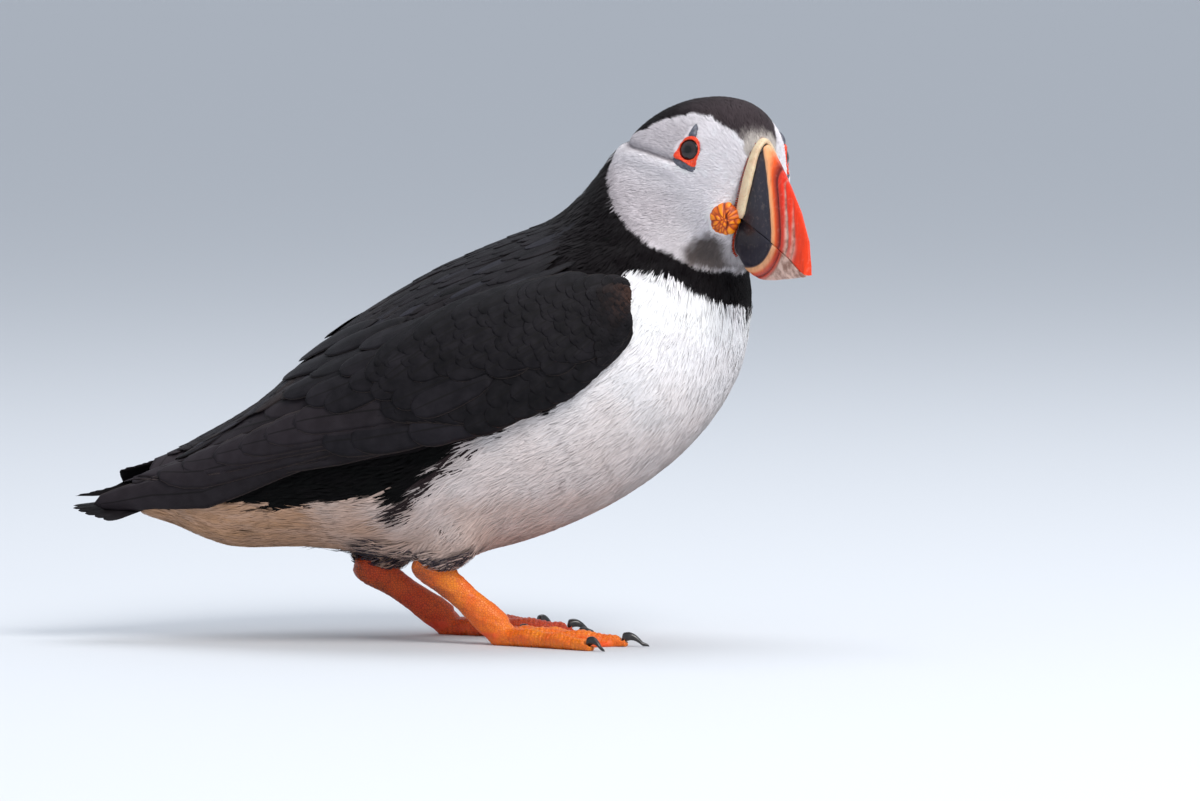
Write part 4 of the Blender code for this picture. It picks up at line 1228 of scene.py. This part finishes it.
def make_lower_mandible():
    """The lower mandible, narrower at its base, with a chalky tip."""
    def place(share, turn):
        f, open_part = bill_along(share, BILL_BASE - 0.1, LOWER_TIP + 0.2)
        level, ridge = outline(GAPE, f) - 0.2, outline(GONYS, f)
        y, u = section(turn, f, level, ridge, bill_half_width(f) - 1.5 * soft(26, 13, f),
                       1.75 + 1.3 * soft(25, 13, f), lower_band, LOWER_LINES, 0.15)
        y = y * open_part
        u = (level + ridge) / 2 + (u - (level + ridge) / 2) * open_part
        f = f + 1.5 * soft(-25, -16, u) * soft(22, 13, f)
        tip = soft(0.98, 1.0, share)
        return from_head(np.stack([f + 0.3 * tip, y * (1 - tip), u + (TIP_LEVEL - u) * tip], 1))

    bm = moulded(96, 120, place)
    spots = in_head(corners_of(bm)[0])
    band = lower_band(spots[:, 0], spots[:, 2])
    masks = {"Band": band, "Pale": soft(4.8, 5.6, band) * soft(-30.5, -28.0, spots[:, 2] - 0.17 * (spots[:, 0] - 28))}
    finish_piece("bill_lower_horn", bm, horn_material("lower_horn", LOWER_COLOURS), "bill_horn", ("bill_lower",), masks)


SLATE = tone(45, 42, 53)
SLATE_DARK = tone(30, 28, 36)
RIM = tone(240, 178, 130)
ORANGE = tone(236, 88, 24)
RED = tone(226, 42, 14)
DARK_RED = tone(120, 28, 20)
# Colours across the horn at places in front of the slate plate, in mm.
UPPER_COLOURS = ((-12.0, SLATE_DARK), (-4.0, SLATE), (-0.5, SLATE), (-0.1, tone(120, 84, 74)), (0.2, RIM),
                 (1.1, tone(244, 160, 104)), (2.0, ORANGE), (2.9, tone(170, 52, 26)), (3.3, DARK_RED),
                 (3.8, DARK_RED), (4.3, tone(205, 48, 24)), (5.8, RED), (9.8, tone(232, 52, 12)),
                 (16.0, tone(238, 60, 10)))
LOWER_COLOURS = ((-12.0, SLATE_DARK), (-3.0, SLATE), (-0.5, SLATE), (-0.1, tone(130, 96, 84)), (0.3, RIM),
                 (1.6, tone(236, 158, 110)), (2.4, tone(222, 92, 48)), (3.2, tone(190, 50, 30)), (3.7, DARK_RED),
                 (4.3, tone(206, 66, 44)), (5.0, tone(180, 100, 82)), (5.5, tone(206, 150, 132)),
                 (9.0, tone(186, 140, 124)), (16.0, tone(150, 96, 84)))


def horn_material(name, stops):
    """Worn, slightly glossy horn in curved bands of colour, with fine scratches along them."""
    material, tree, shader = new_material(name, Specular_IOR_Level=0.3, Coat_Weight=0.12, Coat_Roughness=0.2)
    band = colour_scale(tree, mask_of(tree, "Band"), stops, -12.0, 16.0)
    mottle = noise_of(tree, 900)
    streak = noise_of(tree, 500, 4.0, (0, 0, 61), (3.0, 1.0, 0.35))
    worn = blended(tree, ranged(tree, streak, 0.45, 0.75, 0, 0.25), band, tone(60, 24, 22), "MULTIPLY")
    chalk = between(tree, noise_of(tree, 420, 5.0), 0.38, 0.62, tone(150, 108, 92), tone(222, 186, 170))
    chalky = blended(tree, mask_of(tree, "Pale"), worn, chalk)
    coloured(tree, shader, blended(tree, ranged(tree, mottle, 0.55, 0.75, 0, 0.06), chalky, tone(250, 225, 205)))
    tree.links.new(ranged(tree, mottle, 0.3, 0.7, 0.30, 0.46), shader.inputs["Roughness"])
    bumped(tree, shader, streak, 0.06, 0.5)
    return material


def strip_arch(turn):
    """Places round the bill's base from the left corner of the gape to the right one: sideways, up."""
    low = outline(GAPE, 15.5)
    y = (BILL_HALF_WIDTH * 0.985 + 0.35) * rounded(np.cos(turn), BILL_FULLNESS)
    return y, low + (6.9 - low) * rounded(np.sin(turn), BILL_FULLNESS)


def strip_widening(f):
    """How much wider the strip's arch gets towards the feathers."""
    return 1 + 0.035 * (15.0 - f)


def make_bill_strip():
    """The pitted cream strip of skin that arches over the bill's base."""
    def place(share, turn):
        angle = math.pi * np.clip((share - 0.02) / 0.96, 0, 1)
        y, u = strip_arch(angle)
        y2, u2 = strip_arch(angle + 0.01)
        tangent = unit(np.stack([y2 - y, u2 - u], 1) + 1e-9)
        out = np.stack([tangent[:, 1], -tangent[:, 0]], 1)
        front, rear = (edge_at(edge, u) for edge in (STRIP_FRONT, STRIP_REAR))
        end = np.sqrt(np.clip(np.sin(math.pi * np.clip(share, 0, 1)) * 6, 0, 1))
        f = (front + rear) / 2 + (front - rear) / 2 * rounded(np.cos(turn), 3.0) * end
        rise = 0.75 * rounded(np.sin(turn), 2.8) * end
        return from_head(np.stack([f, y * strip_widening(f) + out[:, 0] * rise, u + out[:, 1] * rise], 1))

    bm = moulded(20, 120, place)
    material, tree, shader = new_material("cream_skin", Roughness=0.5, Subsurface_Weight=0.1, Subsurface_Scale=0.001)
    dots = ranged(tree, cells_of(tree, 1900, "Distance"), 0.0, 0.35)
    cream = between(tree, noise_of(tree, 350), 0.35, 0.7, tone(222, 202, 168), tone(208, 176, 142))
    coloured(tree, shader, blended(tree, dots, tone(190, 150, 104), cream))
    bumped(tree, shader, dots, 0.12, 0.7)
    finish_piece("bill_strip", bm, material, "bill_strip", ("bill_base",))


def make_warts():
    """Red warts along the strip's feathered edge and down the rear edge of the lower mandible."""
    y, u = strip_arch(np.linspace(0.02, math.pi - 0.02, 96))
    f = edge_at(STRIP_REAR, u)
    upper = np.stack([f + 0.1, y * strip_widening(f) * 1.03, u + 0.35 * soft(2, 7, u)], 1)
    level = np.linspace(-17.0, -26.6, 30)
    rear = BILL_BASE + 1.5 * soft(-25, -16, level)
    wide = 4.8 * np.clip(1 - np.abs((level + 14.8) / 12.2) ** 3.05, 0, 1) ** 0.328 + 0.25
    lower = np.concatenate([np.stack([rear, side * wide, level], 1) for side in SIDE_NAMES])
    spots = np.concatenate([upper, lower])
    chance = np.random.default_rng(3)
    out = unit((spots - (14.0, 0, -9.0)) * (0, 1, 1))
    lean = unit(out * 0.8 + (-1.0, 0, 0) + chance.normal(0, 0.1, spots.shape))
    pattern = spindle(6, 4)
    step, turn = pattern[0], pattern[1]
    size = 0.17 * chance.uniform(0.8, 1.25, len(spots)) * soft(9, 3, spots[:, 2])
    line = spots[:, None] + lean[:, None] * (np.array([0, 0.35, 0.8, 1.1, 1.3]) - 0.3)[None, :, None]
    fat = size[:, None] * np.array([0, 1.0, 1.0, 0.7, 0])[step]
    side = unit(np.cross(lean, (0.3, 0.5, 0.8)))
    rise = np.cross(side, lean)
    points = (line[:, step] + side[:, None] * (fat * np.cos(turn))[..., None]
              + rise[:, None] * (fat * np.sin(turn))[..., None])
    tints = np.tile(tone(150, 52, 30), (len(spots), 5, 1)) * chance.uniform(0.6, 1.3, (len(spots), 1, 1))
    array_piece("bill_warts", pattern, from_head(points), tints, np.full((len(spots), 2), 0.9), COAT_MATERIAL,
                "bill_strip")


def make_rosette(side):
    """The fleshy button at the corner of the gape, folded like a small brain round an upright crease."""
    name = "rosette_" + SIDE_NAMES[side]
    chance = np.random.default_rng(21)
    angle, far = chance.uniform(0, 2 * math.pi, 34), np.sqrt(chance.uniform(0.0, 1.25, 34))
    spokes = np.stack([np.cos(angle), np.sin(angle)], 1)
    # The pole looks outwards; the button's own x runs along the head, its z up.
    bm, share, turn = ball(120, 80)
    ring = np.sin(math.pi * share)
    x, z, y = ring * np.cos(turn), ring * np.sin(turn), side * np.cos(math.pi * share)
    away = np.stack([x, z], 1)[:, None] - (far[:, None] * spokes)[None]
    along = (away * spokes[None]).sum(-1)
    across = away[..., 0] * spokes[None, :, 1] - away[..., 1] * spokes[None, :, 0]
    gaps = np.sort(np.hypot(along * 0.42, across), axis=1)
    lobe = soft(0.0, 0.16, gaps[:, 1] - gaps[:, 0])
    crease = hump(x - 0.22 + 0.10 * np.sin(5 * z), 0, 0.05) * soft(0.75, 0.3, np.abs(z))
    high = 0.75 * lobe ** 0.6 + 0.25 * soft(0.35, 0.0, gaps[:, 0]) - 0.9 * crease
    rim = 1 + 0.07 * (high - 0.6) + 0.03 * np.sin(5 * turn)
    outer = np.stack([x * 4.35 * rim, y * 2.6 * (1 + 0.17 * (high - 0.7)), z * 4.6 * rim], 1)
    move_corners(bm, from_head(outer @ turned((-side * 50, "Z")).T + (13.4, side * 9.1, -16.1)))
    bmesh.ops.recalc_face_normals(bm, faces=bm.faces)
    material, tree, shader = new_material(name, Roughness=0.48, Subsurface_Weight=0.12, Subsurface_Scale=0.0012)
    # Painted shade and painted highlight: the orange flesh darkest in the creases between the folds and brightest on
    # their tops.
    stops = ((0.0, tone(112, 34, 6)), (0.4, tone(196, 80, 4)), (0.75, tone(236, 126, 4)), (1.0, tone(246, 152, 10)))
    coloured(tree, shader, colour_scale(tree, mask_of(tree, "Fold"), stops, 0.0, 1.0))
    bumped(tree, shader, noise_of(tree, 1500), 0.06, 0.5)
    finish_piece(name, bm, material, "gape_rosette", ("gape_" + name,), {"Fold": np.clip(high, 0, 1)})


# ---- eyes

# Outlines in the plane of the eye, forward and up from its middle, in mm.
RIM_OUTLINE = ((3.38, -0.4), (2.9, 1.75), (1.65, 3.5), (0.2, 4.1), (-1.1, 3.7), (-2.1, 3.0), (-2.75, 1.9),
               (-3.3, 0.1), (-3.5, -1.4), (-3.9, -3.1), (-1.6, -3.5), (0.65, -3.95), (3.4, -4.3), (3.4, -2.3))
HORN_OUTLINE = ((0.75, 3.9), (0.5, 5.1), (0.05, 6.4), (-0.5, 7.3), (-1.0, 7.8), (-1.45, 7.2), (-1.6, 6.2), (-1.7, 5.0),
                (-1.6, 3.7), (-0.4, 3.7))
PLATE_OUTLINE = ((3.7, -4.0), (3.8, -5.2), (3.2, -5.8), (1.0, -5.6), (-1.2, -5.3), (-3.0, -4.8), (-4.4, -3.9),
                 (-3.7, -3.3), (-1.0, -3.6), (1.5, -4.05))


def eye_axes(side):
    """The eye's middle, and its ways forward, up and out, in the head."""
    out = unit(EYE_AXIS * (1, side, 1))
    forward = unit(np.array([EYE_AXIS[1], -side * EYE_AXIS[0], 0]))
    rise = np.cross(out, forward) * (1 if side == RIGHT else -1)
    return EYE_PLACE * (1, side, 1), forward, rise, out


def eye_point(side, a, b, c):
    """Points given forward, up and out from the eye's middle."""
    middle, forward, rise, out = eye_axes(side)
    return from_head(middle + np.multiply.outer(a, forward) + np.multiply.outer(b, rise) + np.multiply.outer(c, out))


def around_outline(corners, turn):
    """A smooth closed outline's points at turns about its middle."""
    corners = np.asarray(corners, float)
    middle = corners.mean(0)
    away = corners - middle
    angle = np.unwrap(np.arctan2(away[:, 1], away[:, 0]))
    if angle[-1] < angle[0]:
        angle, away = angle[::-1], away[::-1]
    far = np.hypot(*away.T)
    wrapped = np.concatenate([angle - 2 * math.pi, angle, angle + 2 * math.pi])
    order = np.argsort(wrapped)
    rows = np.tile(far, 3)[order]
    t = np.interp((turn - angle[0]) % (2 * math.pi) + angle[0], wrapped[order], np.arange(len(rows)))
    return middle, curve(rows, t)


def skin_level(side, a, b):
    """How far out from the eye's middle the skin lies, at places in the eye's plane."""
    levels = []
    _, _, _, out = eye_axes(side)
    way = Vector(out @ HEAD_TURN.T)
    for start in eye_point(side, a, b, np.full(len(a), 14.0)):
        hit = SKIN.ray_cast(Vector(start), -way)
        levels.append(14.0 - hit[3] if hit[0] else 2.0)
    return np.clip(np.array(levels), 0.5, 5.0)


def make_eyeball(side):
    """The glossy eyeball, coloured by the degrees from its middle: the pupil, the iris and the dark outside it."""
    name = SIDE_NAMES[side]

    def place(share, turn):
        wide = EYE_RADIUS * np.sin(math.pi * share)
        return eye_point(side, wide * np.cos(turn), wide * np.sin(turn), EYE_RADIUS * np.cos(math.pi * share))

    bm = moulded(64, 72, place)
    middle, _, _, out = eye_axes(side)
    off = np.degrees(np.arccos(np.clip(unit(corners_of(bm)[0] - from_head(middle)) @ (HEAD_TURN @ out), -1, 1)))
    material, tree, shader = new_material("eye_" + name, Roughness=0.12, Specular_IOR_Level=0.2, Coat_Weight=0.55,
                                          Coat_Roughness=0.02)
    stops = ((0, (0.001,) * 3), (12, (0.001,) * 3), (15.5, tone(38, 29, 29)), (26, tone(50, 41, 42)),
             (33, tone(22, 17, 19)), (40, tone(12, 8, 8)))
    colour = colour_scale(tree, mask_of(tree, "Gaze"), stops, 0, 60)
    fibres = ranged(tree, noise_of(tree, 2600, 2.0), 0.4, 0.7, 0, 0.4)
    coloured(tree, shader, blended(tree, fibres, colour, tone(110, 96, 90), "SOFT_LIGHT"))
    finish_piece("eyeball_" + name, bm, material, "eye", ("eye_" + name,), {"Gaze": off})


def ring_mesh():
    """A ring of 4 round a tube of 1, made by spinning a circle."""
    bm = bmesh.new()
    bmesh.ops.create_circle(bm, segments=16, radius=1.0)
    bmesh.ops.rotate(bm, verts=bm.verts, matrix=Matrix.Rotation(math.radians(90), 3, "X"))
    bmesh.ops.translate(bm, verts=bm.verts, vec=(4, 0, 0))
    bmesh.ops.spin(bm, geom=bm.verts[:] + bm.edges[:], axis=(0, 0, 1), cent=(0, 0, 0), angle=2 * math.pi, steps=128,
                   use_merge=True)
    return bm


def make_eye_rim(side):
    """The red rim: it starts on the eyeball, swells and runs out over the skin to an edge with three corners."""
    name = SIDE_NAMES[side]
    bm = ring_mesh()
    x, y, high = np.array([v.co for v in bm.verts]).T
    turn, wide = np.arctan2(y, x), np.hypot(x, y) - 4
    circle = np.linspace(-math.pi, math.pi, 361)
    centre, reach = around_outline(RIM_OUTLINE, circle)
    edge = centre + reach[:, None] * np.stack([np.cos(circle), np.sin(circle)], 1)
    edge_turn = np.unwrap(np.arctan2(edge[:, 1], edge[:, 0]))
    order = np.argsort(edge_turn)
    outer = np.interp(turn, edge_turn[order], np.hypot(*edge.T)[order], period=2 * math.pi)
    share = (wide + 1) / 2
    reach = EYE_OPENING + (outer - EYE_OPENING) * share
    a, b = reach * np.cos(turn), reach * np.sin(turn)
    level = skin_level(side, a, b)
    beads = 0.05 * np.sin(46 * turn) * hump(share, 0.15, 0.15) + 0.06 * drift(np.stack([a, b, a * 0], 1), 0.7, 4)
    on_ball = math.sqrt(EYE_RADIUS ** 2 - EYE_OPENING ** 2) + 0.25
    top = on_ball * (1 - soft(0.1, 0.9, share)) + (level + 0.55) * soft(0.1, 0.9, share)
    c = np.where(high > 0, top + 0.28 * np.abs(high) ** 0.5 + beads, np.minimum(top, level + 0.2) - 0.6 * np.abs(high))
    move_corners(bm, eye_point(side, a, b, c))
    bmesh.ops.recalc_face_normals(bm, faces=bm.faces)
    material, tree, shader = new_material("rim_" + name, Roughness=0.35, Subsurface_Weight=0.1, Subsurface_Scale=0.0008)
    patches = noise_of(tree, 1800)
    coloured(tree, shader, between(tree, patches, 0.35, 0.7, tone(206, 40, 14), tone(240, 84, 34)))
    bumped(tree, shader, patches, 0.08, 0.6)
    finish_piece("eye_rim_" + name, bm, material, "eye_ring", ("eye_ring_" + name,))


def make_eye_pads(side):
    """The slate-blue horn above the eye and the plate below it."""
    name = SIDE_NAMES[side]
    for label, corners, height in (("horn", HORN_OUTLINE, 1.15), ("plate", PLATE_OUTLINE, 0.95)):
        def place(share, turn, corners=corners, height=height):
            middle, reach = around_outline(corners, turn)
            ring = np.sin(math.pi * share) ** 0.75
            a, b = middle[0] + reach * ring * np.cos(turn), middle[1] + reach * ring * np.sin(turn)
            dome = rounded(np.cos(math.pi * share), 2.6) * (0.8 + 0.2 * (1 - ring))
            return eye_point(side, a, b, skin_level(side, a, b) + height * dome)

        material, tree, shader = new_material(f"{label}_{name}", Roughness=0.45)
        grain = noise_of(tree, 1400, 4.0)
        coloured(tree, shader, between(tree, grain, 0.3, 0.7, tone(52, 54, 64), tone(98, 100, 112)))
        bumped(tree, shader, grain, 0.12, 0.7)
        finish_piece(f"eye_{label}_skin_{name}", moulded(40, 24, place), material, "eye_plates",
                     (f"eye_{label}_{name}",))


# ---- legs and feet

FEET = {RIGHT: np.array([8.5, -20.5, 4.4]), LEFT: np.array([-7.5, 20.0, 4.4])}
HEADINGS = {RIGHT: -12, LEFT: 8}
# Each toe: its turn from the foot's heading, its length and its claw's length.
TOES = {"outer": (-29, 34.5, 6.4), "middle": (2, 36.5, 8.0), "inner": (41, 27.0, 6.6)}


def toe_way(side, toe):
    angle = math.radians(HEADINGS[side] - side * TOES[toe][0])
    return np.array([math.cos(angle), math.sin(angle), 0])


def make_leg_skin(side):
    """Shank, toes and web of one leg under a net of small scales."""
    name = SIDE_NAMES[side]
    bm = remeshed(joined([node_copy("leg_" + name, 0.2), node_copy("foot_" + name, 0.2)]), 0.42, 5)
    points, normals = corners_of(bm)
    flat = points[:, :2] - FEET[side][:2]
    gap, along = np.full(len(points), 99.0), np.zeros(len(points))
    for toe, (_, length, _) in TOES.items():
        way = toe_way(side, toe)[:2]
        reach = np.clip(flat @ way, 0, length)
        far = lengths(flat - reach[:, None] * way) - (2.9 - 1.2 * reach / length)
        along = np.where(far < gap, reach, along)
        gap = np.minimum(gap, far)
    web = soft(-0.3, 0.9, gap) * soft(4.5, 3.0, points[:, 2])
    shank = FEET[side] - ANKLES[side]
    share = np.clip((points - ANKLES[side]) @ shank / (shank @ shank), -0.3, 1.2)
    away = points - ANKLES[side]
    knob = ANKLES[side] + away * np.minimum(1, 5.1 / lengths(away))[:, None]
    points = np.where(share[:, None] < 0.05, knob, points)
    # Painted shade: darker on the side turned back and down, and round the top of the shank under the thigh's feathers.
    rear = unit(np.array([-0.8, 0, -0.6]))
    dark = soft(-0.1, 0.9, normals @ rear + 0.25 * drift(points, 4, 12)) * soft(0.85, 0.3, share)
    dark = np.clip(dark + 0.55 * soft(-0.02, -0.2, share) * soft(0.4, -0.2, normals[:, 0]), 0, 1)
    ridge = 0.10 * np.sin(along * 2 * math.pi / 1.5) * soft(0.4, -0.6, gap) * soft(3, 6, along)
    crease = 0.5 * hump(share, 0.13, 0.035) + 0.35 * hump(share, 0.02, 0.03) + 0.3 * hump(share, 0.30, 0.03)
    crease = crease * soft(0.2, 0.9, normals @ np.array([0.6, 0, 0.3]))
    height = 0.09 * drift(points, 1.3, 9) * (1 - 0.7 * web) + ridge - crease
    height = height - 0.10 * web * hump(drift(points, 5, 13), 0, 0.2)
    points = points + normals * height[:, None]
    points[:, 2] = np.maximum(points[:, 2], -0.04)
    move_corners(bm, points)
    finish_piece("leg_skin_" + name, bm, leg_material(side), "leg_skin", ("leg_" + name, "foot_" + name),
                 {"Web": web, "PaintedLegShade": dark})


def leg_material(side):
    """Orange skin in small many-sided scales, finer and redder on the web, with dark seams between them and painted
    shade down the back of the leg.
    """
    base, patch, web_colour, seam = LEG_COLOURS[side]
    material, tree, shader = new_material("leg_scales_" + SIDE_NAMES[side], Roughness=0.42, Subsurface_Weight=0.12,
                                          Subsurface_Scale=0.0012)
    web, rear = mask_of(tree, "Web"), mask_of(tree, "PaintedLegShade")
    shank, fine = (ranged(tree, cells_of(tree, scale, "Distance", feature="DISTANCE_TO_EDGE", Randomness=0.75), 0, 0.16)
                   for scale in (1450, 2100))
    scale = blended(tree, web, shank, fine)
    skin = blended(tree, web, between(tree, noise_of(tree, 160), 0.35, 0.65, base, patch), web_colour)
    seamed = blended(tree, scale, seam, skin)
    faint = blended(tree, ranged(tree, web, 0, 1, 0.75, 0.25), skin, seamed)
    # Painted shade: the scales and their seams darkened down the back of the leg.
    dusk = blended(tree, scale, tone(44, 18, 16), tone(190, 82, 20))
    coloured(tree, shader, blended(tree, ranged(tree, rear, 0, 1, 0, 0.85), faint, dusk))
    bumped(tree, shader, scale, 0.10, 0.8)
    return material


# The colour of the scales, their paler patches, the web and the seams between scales; the far left leg's are darker and
# redder, partly its own colour and partly painted shade.
LEG_COLOURS = {RIGHT: (tone(238, 106, 8), tone(244, 136, 18), tone(240, 84, 18), tone(200, 80, 10)),
               LEFT: (tone(214, 66, 14), tone(228, 96, 20), tone(222, 62, 14), tone(140, 34, 8))}


def make_claws(side):
    """A glossy black hook at the end of each toe."""
    material, tree, shader = new_material("claw_horn_" + SIDE_NAMES[side], Roughness=0.3, Coat_Weight=0.3)
    streak = noise_of(tree, 700)
    coloured(tree, shader, between(tree, streak, 0.35, 0.7, tone(16, 14, 15), tone(46, 41, 40)))
    bumped(tree, shader, streak, 0.05, 0.6)
    for toe, (_, length, hook) in TOES.items():
        way = toe_way(side, toe)
        across = np.array([-way[1], way[0], 0])
        end = np.append(FEET[side][:2], 0) + way * length

        def place(share, turn, way=way, across=across, end=end, hook=hook):
            centre = end + way * (-1.2 + hook * share)[:, None]
            level = 2.1 + 0.9 * np.sin(math.pi * np.minimum(1, 1.3 * share)) - 0.34 * hook * share ** 2.2
            radius = (1.45 * (1 - share) ** 0.8 + 0.2) * np.sqrt(np.clip(share / 0.06, 0, 1))
            radius = radius * np.sqrt(np.clip((1 - share) / 0.05, 0, 1))
            centre[:, 2] = np.maximum(level, radius + 0.02)
            under = np.where(np.sin(turn) < 0, 0.8, 1.0)
            return (centre + across * (radius * 0.8 * np.cos(turn))[:, None]
                    + (radius * under * np.sin(turn))[:, None] * np.array([0, 0, 1]))

        name = f"{toe}_{SIDE_NAMES[side]}"
        finish_piece("hook_" + name, moulded(24, 28, place), material, "claw", ("claw_" + name,))


for kind in COATS:
    make_coat(kind)
wing_cores()
for side in (RIGHT, LEFT):
    wing_feathers(side)
    back_feathers(side)
make_tail()
make_upper_mandible()
make_lower_mandible()
make_bill_strip()
make_warts()
for side in (RIGHT, LEFT):
    make_rosette(side)
    make_eyeball(side)
    make_eye_rim(side)
    make_eye_pads(side)
    make_leg_skin(side)
    make_claws(side)
finish_piece("skin", SKIN_MESH, SKIN_MATERIAL, "body_plumage", FLESH,
             {"Plumage": plumage(corners_of(SKIN_MESH)[0]) * 0.95})


# ---- floor, light and camera


def make_stage():
    """A pale round floor under a soft sky."""
    bm = bmesh.new()
    bmesh.ops.create_circle(bm, cap_ends=True, segments=96, radius=30.0)
    data = bpy.data.meshes.new("floor")
    bm.to_mesh(data)
    bm.free()
    data.materials.append(new_material("pale_floor", Base_Color=(0.62, 0.64, 0.67, 1), Roughness=0.8)[0])
    floor = placed("floor", data)
    world = bpy.data.worlds.new("studio")
    bpy.context.scene.world = world
    world.use_nodes = True
    sky = world.node_tree.nodes["Background"]
    sky.inputs["Color"].default_value = (0.80, 0.86, 0.95, 1)
    sky.inputs["Strength"].default_value = 0.75


def aimed(thing, place, aim):
    thing.location = place
    thing.rotation_euler = (Vector(aim) - Vector(place)).to_track_quat("-Z", "Y").to_euler()


def area_light(name, place, size, power, colour):
    """A round soft light that looks at the bird's middle."""
    data = bpy.data.lights.new(name, "AREA")
    data.shape, data.size, data.energy, data.color = "DISK", size, power, colour
    aimed(placed(name, data), place, (0, 0, 0.08))


def make_camera():
    """A long lens, level with the bird's side and three degrees above the horizon."""
    data = bpy.data.cameras.new("camera")
    data.sensor_width, data.lens, data.clip_end = 36, 300, 60
    camera = placed("camera", data)
    aim = Vector((np.array([37.1, 0, 68.4]) + HOME) * MM)
    rise = math.radians(3)
    aimed(camera, aim + Vector((0, -math.cos(rise), math.sin(rise))) * 2.858, aim)
    bpy.context.scene.camera = camera


make_stage()
area_light("key", (0.9, -1.2, 1.5), 1.1, 33, (1, 0.98, 0.95))
area_light("top", (0.1, 0.5, 1.9), 1.4, 16, (0.95, 0.97, 1))
make_camera()
bpy.context.scene.view_settings.view_transform = "Standard"
